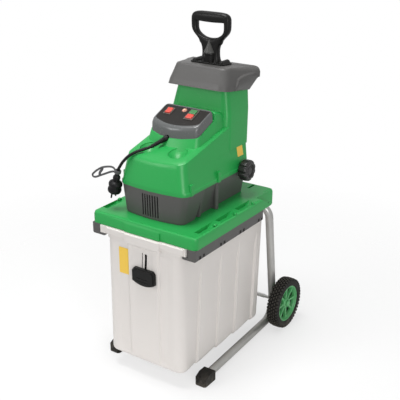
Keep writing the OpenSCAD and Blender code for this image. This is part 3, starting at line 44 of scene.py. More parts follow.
# Camera at the photo's angle
camera = bpy.data.objects.new("photoCamera", bpy.data.cameras.new("photoCamera"))
camera.data.lens = 72.95
camera.data.sensor_width = 36
camera.data.clip_end = 60
camera.location = (1.293, -1.883, 1.389)
camera.rotation_euler = (radians(68.15), 0, radians(34.41))
scene.collection.objects.link(camera)
scene.camera = camera


# Shader groups that several materials share
def tone(code):
    channels = [int(code[i:i + 2], 16) / 255 for i in (1, 3, 5)]
    return [c / 12.92 if c <= 0.04045 else ((c + 0.055) / 1.055) ** 2.4 for c in channels] + [1]


def newGroup(name, inputs, outputs, kind="ShaderNodeTree"):
    group = bpy.data.node_groups.new(name, kind)
    for direction, sockets in (("INPUT", inputs), ("OUTPUT", outputs)):
        for label, carries in sockets.items():
            group.interface.new_socket(label, in_out=direction, socket_type="NodeSocket" + carries)
    return group, group.nodes.new("NodeGroupInput").outputs, group.nodes.new("NodeGroupOutput")


def feed(tree, node, values):
    # a plain number or colour is set on the socket, anything else is linked to it
    for label, value in values.items():
        if isinstance(value, (int, float, list, tuple)):
            node.inputs[label].default_value = value
        else:
            tree.links.new(value, node.inputs[label])


def newNode(tree, kind, values, **options):
    node = tree.nodes.new(kind)
    for option, choice in options.items():
        setattr(node, option, choice)
    feed(tree, node, values)
    return node


def mathNode(tree, operation, first, second, clamp=False):
    return newNode(tree, "ShaderNodeMath", {0: first, 1: second}, operation=operation, use_clamp=clamp).outputs[0]


def noiseNode(tree, vector, scale, detail, rough=0.5):
    values = {"Vector": vector, "Scale": scale, "Detail": detail, "Roughness": rough}
    return newNode(tree, "ShaderNodeTexNoise", values).outputs["Fac"]


def rangeNode(tree, value, low, high, toLow=0, toHigh=1):
    values = {"Value": value, "From Min": low, "From Max": high, "To Min": toLow, "To Max": toHigh}
    return newNode(tree, "ShaderNodeMapRange", values).outputs["Result"]


def blendColor(tree, amount, first, second):
    return newNode(tree, "ShaderNodeMix", {0: amount, 6: first, 7: second}, data_type="RGBA").outputs[2]


def objectPlace(tree):
    return tree.nodes.new("ShaderNodeTexCoord").outputs["Object"]


skinOutputs = {"Color": "Color", "Roughness": "Float", "Height": "Float"}


def mouldedSkin():
    group, given, made = newGroup(
        "mouldedSkin", {"Tone": "Color", "Gloss": "Float", "Spread": "Float", "Grain": "Float"}, skinOutputs)
    place = objectPlace(group)
    grain = noiseNode(group, place, given["Grain"], 2)
    flow = noiseNode(group, place, 9, 3)
    scuff = rangeNode(group, noiseNode(group, place, 140, 5, 0.7), 0.62, 0.78)
    shift = mathNode(group, "MULTIPLY", mathNode(group, "SUBTRACT", flow, 0.5), given["Spread"])
    values = {"Value": mathNode(group, "ADD", shift, 1), "Color": given["Tone"]}
    paler = newNode(group, "ShaderNodeHueSaturation", values).outputs["Color"]
    rubbed = blendColor(group, mathNode(group, "MULTIPLY", scuff, 0.06), paler, (0.8, 0.8, 0.78, 1))
    rough = mathNode(group, "ADD", given["Gloss"], mathNode(group, "MULTIPLY", shift, 1.4))
    rough = mathNode(group, "ADD", rough, mathNode(group, "MULTIPLY", scuff, 0.12), True)
    feed(group, made, {"Color": rubbed, "Roughness": rough, "Height": grain})
    return group


def drawnMetal():
    group, given, made = newGroup("drawnMetal", {"Tone": "Color", "Gloss": "Float", "Stretch": "Vector"}, skinOutputs)
    place = objectPlace(group)
    pulled = newNode(group, "ShaderNodeVectorMath", {0: place, 1: given["Stretch"]}, operation="MULTIPLY").outputs[0]
    lines = noiseNode(group, pulled, 900, 3)
    cloud = rangeNode(group, noiseNode(group, place, 22, 4), 0.35, 0.7, 0, 0.22)
    dull = blendColor(group, cloud, given["Tone"], (0.22, 0.22, 0.22, 1))
    rough = mathNode(group, "ADD", given["Gloss"], rangeNode(group, lines, 0.3, 0.7, -0.06, 0.08), True)
    feed(group, made, {"Color": dull, "Roughness": rough, "Height": lines})
    return group


def floorDust():
    group, given, made = newGroup(
        "floorDust", {"Color": "Color", "Amount": "Float", "Reach": "Float"}, {"Color": "Color"})
    place = objectPlace(group)
    split = newNode(group, "ShaderNodeSeparateXYZ", {0: place}).outputs
    low = rangeNode(group, split["Z"], 0, given["Reach"], 1, 0)
    patch = rangeNode(group, noiseNode(group, place, 55, 5, 0.65), 0.4, 0.72)
    share = mathNode(group, "MULTIPLY", mathNode(group, "MULTIPLY", low, patch), given["Amount"])
    feed(group, made, {"Color": blendColor(group, share, given["Color"], (0.42, 0.37, 0.3, 1))})
    return group


treadLook = {"groove": (0.0785, 0.0805), "worn": (0.0812, 0.0826)}


def treadWearAndShade():
    # paler on the worn outer faces of the tread, painted shade darker down in the grooves
    group, given, made = newGroup("treadWearAndShade", {"Color": "Color"}, {"Color": "Color"})
    split = newNode(group, "ShaderNodeSeparateXYZ", {0: objectPlace(group)}).outputs
    squares = []
    for label, centre in (("Y", axleY), ("Z", axleZ)):
        off = mathNode(group, "SUBTRACT", split[label], centre * mm)
        squares.append(mathNode(group, "MULTIPLY", off, off))
    reach = mathNode(group, "SQRT", mathNode(group, "ADD", *squares), 0)
    # painted shade: the grooves are blended towards black
    deep = rangeNode(group, reach, *treadLook["groove"], 0, 0.75)
    groove = blendColor(group, deep, given["Color"], (0.002, 0.002, 0.002, 1))
    worn = rangeNode(group, reach, *treadLook["worn"])
    feed(group, made, {"Color": blendColor(group, worn, groove, (0.05, 0.047, 0.04, 1))})
    return group


skinGroup = mouldedSkin()
wearAndShadeGroup = treadWearAndShade()
metalGroup = drawnMetal()
dustGroup = floorDust()


def addLayer(tree, group, values):
    return newNode(tree, "ShaderNodeGroup", values, node_tree=group).outputs


def newMaterial(name, group, settings, depth, dust=0, reach=0.12, wear=False, **surface):
    material = bpy.data.materials.new(name)
    material.use_nodes = True
    tree = material.node_tree
    skin = addLayer(tree, group, settings)
    color = skin["Color"]
    # worn tread faces and painted shade in the tread grooves
    if wear:
        color = addLayer(tree, wearAndShadeGroup, {"Color": color})["Color"]
    if dust:
        color = addLayer(tree, dustGroup, {"Color": color, "Amount": dust, "Reach": reach})["Color"]
    values = {"Strength": depth, "Distance": 0.0004, "Height": skin["Height"]}
    bump = newNode(tree, "ShaderNodeBump", values).outputs["Normal"]
    values = {"Base Color": color, "Roughness": skin["Roughness"], "Normal": bump}
    feed(tree, tree.nodes["Principled BSDF"], values | surface)
    return material


def moulded(name, code, gloss, grain=1500, depth=0.18, spread=0.06, **surface):
    settings = {"Tone": tone(code), "Gloss": gloss, "Spread": spread, "Grain": grain}
    return newMaterial(name, skinGroup, settings, depth, **surface)


def metal(name, code, gloss, stretch, depth=0.12, **surface):
    settings = {"Tone": tone(code), "Gloss": gloss, "Stretch": stretch}
    return newMaterial(name, metalGroup, settings, depth, **surface)


dim = {"Specular IOR Level": 0.2}
satin = {"Specular IOR Level": 0.4}
greenPlastic = moulded("greenPlastic", "#239c4a", 0.37, **satin)
greyPlastic = moulded("greyPlastic", "#504f4e", 0.42, 1100, 0.3, **satin)
blackPlastic = moulded("blackPlastic", "#0f0f0e", 0.34, 1200, 0.25, **dim)
bezelPlastic = moulded("bezelPlastic", "#595b5b", 0.26, 1100, 0.2)
knobPlastic = moulded("knobPlastic", "#2a2929", 0.36, 1200, 0.25, **satin)
conePlastic = moulded("conePlastic", "#3d3d3b", 0.36, 1200, 0.25, **satin)
footPlastic = moulded("footPlastic", "#141311", 0.5, 1000, 0.3, dust=0.25, reach=0.04, **dim)
binPlastic = moulded("binPlastic", "#dbd6d2", 0.4, 1300, 0.14, 0.03, dust=0.1, reach=0.16)
hubPlastic = moulded("hubPlastic", "#4fa564", 0.4, 1400, 0.2, dust=0.2, reach=0.16)
# near-black green: painted shade standing for the dark gaps between the hub's spokes
hubPaintedShade = moulded("hubPaintedShade", "#0d2a15", 0.6, 1400, 0.2, **dim)
# tyre: paler worn tread faces and painted shade darker in the grooves
tyreRubber = moulded("tyreRubber", "#1d1c19", 0.6, 900, 0.4, 0.12, dust=0.3, reach=0.05, wear=True, **dim)
cordRubber = moulded("cordRubber", "#0d0d0e", 0.44, 1600, 0.2, **dim)
strapRubber = moulded("strapRubber", "#48484a", 0.55, 1300, 0.25)
redKey = moulded("redKey", "#cf4a3e", 0.3, 2000, 0.1)
greenKey = moulded("greenKey", "#3c7a46", 0.32, 2000, 0.1)
palePlastic = moulded("palePlastic", "#e6b9a0", 0.36, 1800, 0.1)
panelPlastic = moulded("panelPlastic", "#211f1d", 0.55, 2200, 0.12, **dim)
framePlastic = moulded("framePlastic", "#55504a", 0.36, 1800, 0.15)
yellowPlate = moulded("yellowPlate", "#efc64a", 0.34, 2500, 0.06, 0.03)
collarPlastic = moulded("collarPlastic", "#c58a7a", 0.34, 1800, 0.1)
tubePaint = metal("tubePaint", "#b4b3b0", 0.34, (1, 1, 0.05), 0.08, dust=0.25, Metallic=0.55)
zincSteel = metal("zincSteel", "#dcdddb", 0.4, (0.06, 1, 1), 0.08, Metallic=0.45)
brightSteel = metal("brightSteel", "#c2c2c0", 0.26, (0.06, 1, 1), Metallic=0.95)
castAlloy = metal("castAlloy", "#b3b5b7", 0.5, (1, 1, 1), 0.35, Metallic=0.8)
coreSteel = metal("coreSteel", "#8d8c8a", 0.42, (1, 0.06, 1), Metallic=0.9)

nodeFinish = {
    # only what no piece stands for
    blackPlastic: ["safety_switch", "wheel_spacers", "cooling_fan", "overload_breaker"],
    hubPlastic: ["axle_caps"],
    zincSteel: ["frame_bolts", "axle"],
    brightSteel: [
        "cowl_screws", "adjuster_screw", "drum_shaft", "drum_bearing_front", "drum_bearing_rear", "drum_gear",
        "intermediate_gear", "capacitor"],
    castAlloy: ["pressing_plate", "cutter_housing", "gearbox_case", "gearbox_cover", "motor_end_shield"],
    coreSteel: ["cutter_drum", "motor_can", "motor_stator", "motor_rotor"],
}
for material, names in nodeFinish.items():
    for name in names:
        holder = cadNodes[name]
        if not holder.material_slots:
            holder.data.materials.append(None)
        for holderSlot in holder.material_slots:
            holderSlot.link = "OBJECT"
            holderSlot.material = material
print("finishes ready")


# Shapes as lists of corners in millimetres and faces
def fullTurn(count):
    return [2 * pi * k / count for k in range(count)]


def cornerArc(x, y, radius, quarter, steps=8):
    angles = [pi / 2 * (quarter + i / steps) for i in range(steps + 1)]
    return [(x + radius * cos(a), y + radius * sin(a)) for a in angles]


def outline(row, arcSteps=8, edgeSteps=10):
    # a ring with round corners, from the right side round by the rear
    halfFront, halfRear, front, rear, radiusFront, radiusRear, height, slope = row
    frontX, frontY = halfFront - radiusFront, front + radiusFront
    rearX, rearY = halfRear - radiusRear, rear - radiusRear
    points = cornerArc(rearX, rearY, radiusRear, 0, arcSteps) + cornerArc(-rearX, rearY, radiusRear, 1, arcSteps)
    points += cornerArc(-frontX, frontY, radiusFront, 2, arcSteps)
    points += [(frontX * (2 * i / edgeSteps - 1), front) for i in range(1, edgeSteps)]
    points += cornerArc(frontX, frontY, radiusFront, 3, arcSteps)
    return [Vector((x, y, height + slope * (y - front))) for x, y in points]


def evenRow(half, low, high, radius, z, slope=0):
    return half, half, low, high, radius, radius, z, slope


def skinOf(rings, capped=True):
    count = len(rings[0])
    corners = [p for ring in rings for p in ring]
    faces = [
        (k * count + i, k * count + (i + 1) % count, (k + 1) * count + (i + 1) % count, (k + 1) * count + i)
        for k in range(len(rings) - 1) for i in range(count)]
    if capped:
        faces += [tuple(reversed(range(count))), tuple(range(len(corners) - count, len(corners)))]
    return corners, faces


def closedSkin(rings):
    # the last ring joins the first one
    corners, faces = skinOf(rings, False)
    count, last = len(rings[0]), len(corners) - len(rings[0])
    return corners, faces + [(last + i, last + (i + 1) % count, (i + 1) % count, i) for i in range(count)]


def loft(rows, arcSteps=8, edgeSteps=10):
    return skinOf([outline(row, arcSteps, edgeSteps) for row in rows])


def throughRows(rows, steps):
    # rows between the given ones, on a smooth curve through them
    made = []
    for k in range(len(rows) - 1):
        before, here, there, after = rows[max(k - 1, 0)], rows[k], rows[k + 1], rows[min(k + 2, len(rows) - 1)]
        for i in range(steps):
            t = i / steps
            made.append([
                0.5 * (2 * b + (c - a) * t + (2 * a - 5 * b + 4 * c - d) * t * t + (3 * b - a - 3 * c + d) * t ** 3)
                for a, b, c, d in zip(before, here, there, after)])
    return made + [rows[-1]]


def smoothRoute(points, steps):
    places = [Vector(p) for p in throughRows(points, steps)]
    last = len(places) - 1
    return [(places[i], (places[min(i + 1, last)] - places[max(i - 1, 0)]).normalized()) for i in range(last + 1)]


def bentRoute(points, radii, steps):
    points = [Vector(p) for p in points]
    ways = [(b - a).normalized() for a, b in zip(points, points[1:])]
    route = [(points[0], ways[0])]
    for i, radius in enumerate(radii):
        turn = ways[i].angle(ways[i + 1])
        inward = (ways[i + 1] - ways[i] * ways[i].dot(ways[i + 1])).normalized()
        start = points[i + 1] - ways[i] * radius * tan(turn / 2)
        for k in range(steps + 1):
            a = turn * k / steps
            route.append((
                start + radius * (inward * (1 - cos(a)) + ways[i] * sin(a)),
                ways[i] * cos(a) + inward * sin(a)))
    return route + [(points[-1], ways[-1])]


def sweep(route, side, sizes, sides=32, joined=skinOf):
    # an oval section carried along the route without twist; sizes is one pair or one pair per place
    rings, across = [], Vector(side)
    for i, (place, way) in enumerate(route):
        across = (across - way * way.dot(across)).normalized()
        upward = way.cross(across)
        halfU, halfV = sizes[i] if isinstance(sizes, list) else sizes
        rings.append([place + halfU * cos(a) * across + halfV * sin(a) * upward for a in fullTurn(sides)])
    return joined(rings)


def lathe(profile, origin, axis, side, sides=48, joined=skinOf):
    origin, axis = Vector(origin), Vector(axis).normalized()
    route = [(origin + axis * along, axis) for radius, along in profile]
    return sweep(route, side, [(max(radius, 0.01), max(radius, 0.01)) for radius, along in profile], sides, joined)


def evened(half, middle=()):
    # a profile whose other half mirrors the first one
    return half + list(middle) + [(x, -y) for x, y in reversed(half)]


def bar(corners, low, high):
    # flat outline in Y and Z drawn out along X
    return skinOf([[Vector((x, y, z)) for y, z in corners] for x in (low, high)])


def ease(value, start, end):
    t = min(1, max(0, (value - start) / (end - start)))
    return t * t * (3 - 2 * t)


def mirrored(shape):
    corners, faces = shape
    return [Vector((-p.x, p.y, p.z)) for p in corners], [tuple(reversed(f)) for f in faces]


def addObject(name, mesh):
    made = bpy.data.objects.new(name, mesh)
    scene.collection.objects.link(made)
    return made


def newObject(name, shapes):
    corners, faces = [], []
    for shapeCorners, shapeFaces in shapes:
        start = len(corners)
        corners += [p * mm for p in shapeCorners]
        faces += [tuple(i + start for i in f) for f in shapeFaces]
    mesh = bpy.data.meshes.new(name)
    mesh.from_pydata(corners, [], faces)
    work = bmesh.new()
    work.from_mesh(mesh)
    bmesh.ops.recalc_face_normals(work, faces=work.faces)
    work.to_mesh(mesh)
    work.free()
    return addObject(name, mesh)


def evaluatedMesh(made):
    graph = bpy.context.evaluated_depsgraph_get()
    mesh = bpy.data.meshes.new_from_object(made.evaluated_get(graph))
    made.modifiers.clear()
    return mesh


def settled(made, angle):
    # modifiers become the mesh itself, smooth within the given angle, broad faces kept flat
    made.data = evaluatedMesh(made)
    made.data.shade_smooth()
    made.data.set_sharp_from_angle(angle=radians(angle))
    weigh = made.modifiers.new("flatFaces", "WEIGHTED_NORMAL")
    weigh.keep_sharp = True
    weigh.mode = "FACE_AREA_WITH_ANGLE"
    made.data = evaluatedMesh(made)


def ringTree():
    tree, given, made = newGroup(
        "ringOfCopies", {"Geometry": "Geometry", "Count": "Int", "Finish": "Material"}, {"Geometry": "Geometry"},
        "GeometryNodeTree")
    step = mathNode(tree, "DIVIDE", 2 * pi, given["Count"])
    turn = mathNode(tree, "MULTIPLY", tree.nodes.new("GeometryNodeInputIndex").outputs[0], step)
    angles = newNode(tree, "ShaderNodeCombineXYZ", {"X": turn}).outputs[0]
    values = {
        "Points": newNode(tree, "GeometryNodePoints", {"Count": given["Count"]}).outputs[0],
        "Instance": given["Geometry"],
        "Rotation": newNode(tree, "FunctionNodeEulerToRotation", {0: angles}).outputs[0],
    }
    copies = newNode(tree, "GeometryNodeInstanceOnPoints", values).outputs[0]
    real = newNode(tree, "GeometryNodeRealizeInstances", {0: copies}).outputs[0]
    coat = newNode(tree, "GeometryNodeSetMaterial", {"Geometry": real, "Material": given["Finish"]}).outputs[0]
    feed(tree, made, {"Geometry": coat})
    return tree


copyTree = ringTree()


def ringOf(shapes, count, finish, origin):
    # the shapes repeated around the X axis, then moved to the origin given
    single = newObject("singleCopy", shapes)
    repeat = single.modifiers.new("ring", "NODES")
    repeat.node_group = copyTree
    values = {"Count": count, "Finish": finish}
    for socket in copyTree.interface.items_tree:
        if socket.name in values:
            repeat[socket.identifier] = values[socket.name]
    mesh = evaluatedMesh(single)
    bpy.data.objects.remove(single)
    return [v.co / mm + Vector(origin) for v in mesh.vertices], [tuple(f.vertices) for f in mesh.polygons]


def rounded(made, width, segments, angle):
    bevel = made.modifiers.new("edges", "BEVEL")
    bevel.width = width * mm
    bevel.segments = segments
    bevel.limit_method = "ANGLE"
    bevel.angle_limit = radians(angle)


def place(made, finish, body, replaced, angle, slot):
    if angle:
        settled(made, angle)
    else:
        made.data.shade_flat()
    made.data.materials.clear()
    made.data.materials.append(finish)
    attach(made, body)
    if replaced:
        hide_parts(*replaced)


def build(name, shapes, finish, body, replaced, angle, slot=None, edge=None):
    made = newObject(name, shapes)
    if edge:
        rounded(made, *edge)
    place(made, finish, body, replaced, angle, slot)
    return made


def mergedMesh(node, name, joined):
    mesh = cadNodes[node].data.copy()
    work = bmesh.new()
    work.from_mesh(mesh)
    bmesh.ops.remove_doubles(work, verts=work.verts, dist=0.00002)
    if joined:
        bmesh.ops.dissolve_limit(work, angle_limit=radians(0.5), verts=work.verts, edges=work.edges)
    bmesh.ops.recalc_face_normals(work, faces=work.faces)
    work.to_mesh(mesh)
    work.free()
    mesh.name = name
    return mesh


def halfOf(node, height, above):
    # the part of a merged solid above or below a level plane, as a shape
    work = bmesh.new()
    work.from_mesh(mergedMesh(node, "halfOf" + node, False))
    bmesh.ops.bisect_plane(
        work, geom=work.verts[:] + work.edges[:] + work.faces[:], plane_co=(0, 0, height * mm), plane_no=(0, 0, 1),
        clear_outer=not above, clear_inner=above)
    work.verts.index_update()
    shape = ([v.co / mm for v in work.verts], [tuple(v.index for v in f.verts) for f in work.faces])
    work.free()
    return shape


# Cord from the strain relief to the plug
cordLook = {"gland": (-13, -146.5, 704), "diameter": 8.5, "plugWay": (-0.2425, 0, -0.97015)}
cordPoints = [
    (-34, -183, 687), (-42, -194, 683.5), (-51, -205, 680), (-60, -216, 676.5), (-69, -226, 671), (-79, -233, 663),
    (-88, -236, 653.5), (-96.5, -238, 643.5), (-104, -238, 633), (-110, -238, 624), (-114, -238, 617),
]
cordRadius = cordLook["diameter"] / 2
cordRoute = smoothRoute(cordPoints, 3)
cordShape = sweep(cordRoute, (1, 0, 0), (cordRadius, cordRadius), 24)
cordTube = build("cordTube", [cordShape], cordRubber, "stand", ["power_cord"], 50, "cord_rubber")

reliefReach = Vector(cordPoints[0]) - Vector(cordLook["gland"])
reliefLength = reliefReach.length
reliefLook = {"ribs": 7, "start": 6.5, "pitch": 4.6, "radius": 7, "taper": 0.22}
reliefProfile = [(7.6, -6), (8, -5), (8, 3.4), (7.6, 4.6), (7, 5.6)]
for i in range(reliefLook["ribs"]):
    start, size = reliefLook["start"] + i * reliefLook["pitch"], reliefLook["radius"] - i * reliefLook["taper"]
    reliefProfile += [(size - 0.9, start), (size, start + 0.7), (size, start + 2.6), (size - 0.9, start + 3.3)]
reliefProfile += [(5.6, reliefLength - 4), (5.2, reliefLength), (4.4, reliefLength + 0.6)]
reliefShape = lathe(reliefProfile, cordLook["gland"], reliefReach, (1, 0, 0), 36)
relief = build("strainRelief", [reliefShape], cordRubber, "stand", ["cord_gland"], 40, "cord_rubber")

plugWay, plugTop = Vector(cordLook["plugWay"]), Vector(cordPoints[-1])
plugProfile = [
    (5.2, -0.6), (5.9, 0.6), (6.45, 4), (6.45, 15), (8.6, 18), (10.4, 21), (11, 25), (10.2, 29), (9.4, 32), (10, 35),
    (14, 37), (17.8, 39), (19.6, 42), (20, 45.5), (19.6, 49), (18.4, 51.5), (18.1, 54), (18.4, 57), (19.6, 60),
    (20, 63.5), (19.4, 67.5), (17.6, 71), (14.8, 73), (13.4, 73), (13, 70.4), (12.6, 70),
]
pinProfile = [(2.4, 66), (2.4, 86.6), (2.1, 88), (1.4, 88.8), (0.3, 89)]
plugShapes = [lathe(plugProfile, plugTop, plugWay, (0, 1, 0))]
plugShapes += [lathe(pinProfile, plugTop + Vector((0, y, 0)), plugWay, (0, 1, 0), 24) for y in (-9.5, 9.5)]
plug = build("plugBody", plugShapes, cordRubber, "stand", ["plug"], 40, "cord_rubber")

strapPoints = [(x, -238, z) for x, z in (
    (-123, 613.6), (-131, 621), (-146, 621), (-171, 614), (-190, 603), (-204, 592), (-211, 584), (-208, 578.5),
    (-198, 579.5), (-180, 588), (-160, 597.5), (-142, 606), (-130, 609.4), (-123.4, 609.4))]
crossPoints = [(-171, -238, 614), (-175, -237, 606), (-181, -239, 597), (-184, -238, 588)]
collarProfile = [(6.6, 0.6), (9.2, 0.6), (9.95, 1.4), (9.95, 9.2), (9.2, 10), (6.6, 10)]
strapShapes = [
    sweep(smoothRoute(strapPoints, 4), (0, 1, 0), (2, 3), 16),
    sweep(smoothRoute(crossPoints, 4), (0, 1, 0), (1.8, 4.2), 16),
    lathe(collarProfile, plugTop, plugWay, (0, 1, 0), 40)]
strap = build("strapLoop", strapShapes, strapRubber, "stand", ["cord_strap"], 45, "strap_rubber")
print("cord laid")

# Leg tubes
legLook = {"radius": 12.5, "bends": (38, 50)}
legPoints = [(110, 138.5, 443), (165, 138.5, 443), (143.997, 228.09, 17), (162, -204, 17)]
legRoute = bentRoute(legPoints, legLook["bends"], 14)
legShape = sweep(legRoute, (0, 1, 0), (legLook["radius"], legLook["radius"]), 36)
for side, shape in (("Left", mirrored(legShape)), ("Right", legShape)):
    build("legTube" + side, [shape], tubePaint, "stand", ["frame_tube_" + side.lower()], 50, "tube_steel")
print("legs bent")

# Moulded housings take softened edges
softPieces = [
    ("deck", "deckMoulding", greenPlastic, "stand", 1.2, "green_plastic"),
    ("motor_cowl", "cowlMoulding", greenPlastic, "stand", 0.8, "green_plastic"),
    ("motor_base", "baseMoulding", greyPlastic, "stand", 0.7, "grey_plastic"),
    ("panel_bezel", "bezelMoulding", bezelPlastic, "stand", 0.8, "grey_plastic"),
    ("bin_latch", "latchMoulding", blackPlastic, "latch", 1.0, "black_plastic"),
    ("rail_left", "railMouldingLeft", greyPlastic, "stand", 0.7, "grey_plastic"),
    ("rail_right", "railMouldingRight", greyPlastic, "stand", 0.7, "grey_plastic"),
    ("foot_left", "footMouldingLeft", footPlastic, "stand", 1.4, "black_plastic"),
    ("foot_right", "footMouldingRight", footPlastic, "stand", 1.4, "black_plastic"),
    ("panel_plate", "panelFace", panelPlastic, "stand", 0, "black_plastic"),
    ("power_switch", "powerFrame", framePlastic, "stand", 0.6, "pale_plastic"),
    ("direction_switch", "rockerFrame", framePlastic, "stand", 0.6, "black_plastic"),
    ("direction_rocker", "rockerKey", redKey, "rocker", 0.6, "red_key"),
    ("on_button", "onKey", greenKey, "on_key", 0.8, "green_key"),
    ("off_button", "offKey", redKey, "off_key", 0.8, "red_key"),
    ("reset_button", "resetKey", palePlastic, "reset_key", 0.8, "pale_plastic"),
]


saddleLook = {"halfX": 88, "y": (-43, 6), "z": (742, 766), "fall": 0.66, "neckY": -9, "neckLean": 0.186}
latchLook = {
    "neckX": 12, "neckHalf": 2.6, "neckZ": (336, 352), "neckY": -286, "backY": -284.3, "shift": 10, "z": 311,
    "taller": 1.3,
}


def saddleChange(x, y, z):
    # the block behind the panel falls to the neck instead of rising to it
    (front, rear), (low, high) = saddleLook["y"], saddleLook["z"]
    if abs(x) > saddleLook["halfX"] or y < front or y > rear or z < low:
        return x, y, z
    drop = saddleLook["fall"] * (y - front) * ease(z, low, high)
    return x, y - (saddleLook["neckLean"] * drop if y > saddleLook["neckY"] else 0), z - drop


def latchChange(x, y, z):
    # thumb block stands over its slot and is taller; the neck stays in the slot
    low, high = latchLook["neckZ"]
    neck = abs(x - latchLook["neckX"]) < latchLook["neckHalf"] and low < z < high and y > latchLook["neckY"]
    if neck or y > latchLook["backY"]:
        return x, y, z
    return x + latchLook["shift"], y, latchLook["z"] + (z - latchLook["z"]) * latchLook["taller"]


def aboutCentre(centre, wide, long):
    # spreads a key across the panel and along its slope
    lean = Vector((0, cos(panelTilt), sin(panelTilt)))

    def change(x, y, z):
        off = Vector((x, y, z)) - Vector(centre)
        off += lean * off.dot(lean) * (long - 1)
        off.x *= wide
        return Vector(centre) + off
    return change


rockerChange = aboutCentre((-49, -76, 760), 1.25, 1.1)
powerChange = aboutCentre((29, -76, 760), 1.32, 0.98)
shapeChanges = {
    "motor_cowl": saddleChange, "bin_latch": latchChange, "direction_switch": rockerChange,
    "direction_rocker": rockerChange, "power_switch": powerChange, "on_button": powerChange, "off_button": powerChange,
}
shadeAngles = {"deck": 50, "panel_plate": 0}
ringFaced = ("panel_plate", "panel_bezel")  # joined faces would run round their openings
for node, name, finish, body, width, slotName in softPieces:
    piece = addObject(name, mergedMesh(node, name, node not in ringFaced))
    if node in shapeChanges:
        for corner in piece.data.vertices:
            corner.co = Vector(shapeChanges[node](*(corner.co / mm))) * mm
    if width:
        rounded(piece, width, 2, 38)
    place(piece, finish, body, [node], shadeAngles.get(node, 35), slotName)
print("mouldings softened")

# Bowls in the scoops, ribs on the base, lugs on the cowl, lumps by the deck pockets and the reset collar
scoopLook = {"centre": (49, -174, 678), "radius": 28.3, "slope": 0.24, "depth": 17, "under": 656}


def scoopBowl():
    # a smooth dish whose rim follows the slope of the cowl
    centre, rings = Vector(scoopLook["centre"]), []
    for share in (1, 0.93, 0.84, 0.72, 0.58, 0.42, 0.24, 0.05):
        reach, sink = scoopLook["radius"] * share, scoopLook["depth"] * (1 - share ** 2)
        circle = [(reach * cos(a), reach * sin(a)) for a in fullTurn(48)]
        rings.append([centre + Vector((x, y, scoopLook["slope"] * y - sink)) for x, y in circle])
    under = [Vector((p.x, p.y, scoopLook["under"])) for p in rings[0]]
    return skinOf([under] + rings)


def bothSides(shapes):
    return shapes + [mirrored(shape) for shape in shapes]


build("scoopBowls", bothSides([scoopBowl()]), greenPlastic, "stand", [], 50, "green_plastic")
ribCorners = [
    [(91, -156, 495), (91, -142, 495), (104.6, -144, 495), (104.6, -154, 495)],
    [(103, -149, 573), (103, -135, 573), (113.6, -137, 573), (113.6, -147, 573)]]
ribShape = skinOf([[Vector(p) for p in row] for row in ribCorners])
build("baseRibs", bothSides([ribShape]), greyPlastic, "stand", [], 40, "grey_plastic", (1.2, 2, 30))
lugPlaces = [(98, 118, -203), (106, 120, -70)]  # inner and outer x, y
lugShapes = []
for inner, outer, y in lugPlaces:
    corners, faces = loft([evenRow(7, y - 6.6, y + 6.6, 1.6, z) for z in (577.5, 610)], 3, 2)
    lugShapes.append(([Vector((inner + (p.x + 7) / 14 * (outer - inner), p.y, p.z)) for p in corners], faces))
build("cowlLugs", bothSides(lugShapes), greenPlastic, "stand", [], 40, "green_plastic", (1.4, 2, 40))
lumpRows = [(4.6, 5.4, 492), (4.4, 5.2, 495.6), (3.2, 4, 497.4)]  # half width, half depth, height
lumpPlaces = [(170, -170), (174, -72), (174, 26)]
lumpShapes = []
for x, y in lumpPlaces:
    corners, faces = loft([evenRow(w, y - d, y + d, 2, z) for w, d, z in lumpRows], 4, 2)
    lumpShapes.append(([p + Vector((x, 0, 0)) for p in corners], faces))
build("deckLumps", bothSides(lumpShapes), greenPlastic, "stand", [], 50, "green_plastic")
resetProfile = [(5, 0), (7.6, 0), (7.6, 1.6), (6.9, 2.6), (5.4, 2.6), (5, 2)]
resetWay = (0, -sin(panelTilt), cos(panelTilt))
resetShape = lathe(resetProfile, (-5, -65.1, 766.9), resetWay, (1, 0, 0), 40, closedSkin)
build("resetCollar", [resetShape], collarPlastic, "stand", [], 40, "pale_plastic")
print("small forms added")

# Bin: fluted body with a raised front panel, rolled lip and the rim from the solid
binLook = {
    "low": 48.6, "high": 426.5, "front": -282, "rear": (147, 177), "half": (135, 130.5), "wall": 3, "corner": 24,
    "sideStart": -257, "footPull": 8, "footTall": 13, "floorEdge": (60, 80), "rimFrom": 424.2,
    "fluteStarts": (-203, -98, 0, 104), "fluteLean": 0.085, "fluteDepth": 6.5, "fluteStep": 3, "fluteEnd": (300, 366),
    "panel": (-54, 59), "panelRise": 2.2, "panelFoot": (58, 72), "stepWide": 6,
    "flankDip": 4, "flankEnd": (78, 106), "flankTop": (408, 420),
    "recess": (-41, 38), "recessDip": 3.8, "recessTop": (345, 400),
    "markX": (-1.8, 0.6), "markZ": (340, 405), "markDip": 2.4, "slotLeft": 9.5, "slotZ": (337, 403),
    "channelX": 46, "channelDip": 2.6, "channelEdge": (9, 15), "channelFoot": (66, 84), "channelTop": (380, 400),
}
binFront = [
    -106, -100, -92, -80, -66, -54, -52, -50, -48, -45, -41, -38, -35, -12, -2.3, -1.8, 0.6, 1.1, 9.5, 14.5,
    32, 35, 38, 50, 53, 55, 57, 59, 68, 80, 92, 100, 106]
binRear = [100, 61, 58, 55, 46, 37, 34, 31, 10, -10, -31, -34, -37, -46, -55, -58, -61, -100]
binLevels = [48.6, 50, 53, 57, 61.6, 66, 70] + list(range(90, 331, 20)) + [
    337, 340, 348, 356, 364, 372, 380, 390, 403, 405, 410, 415, 420, 426.5]


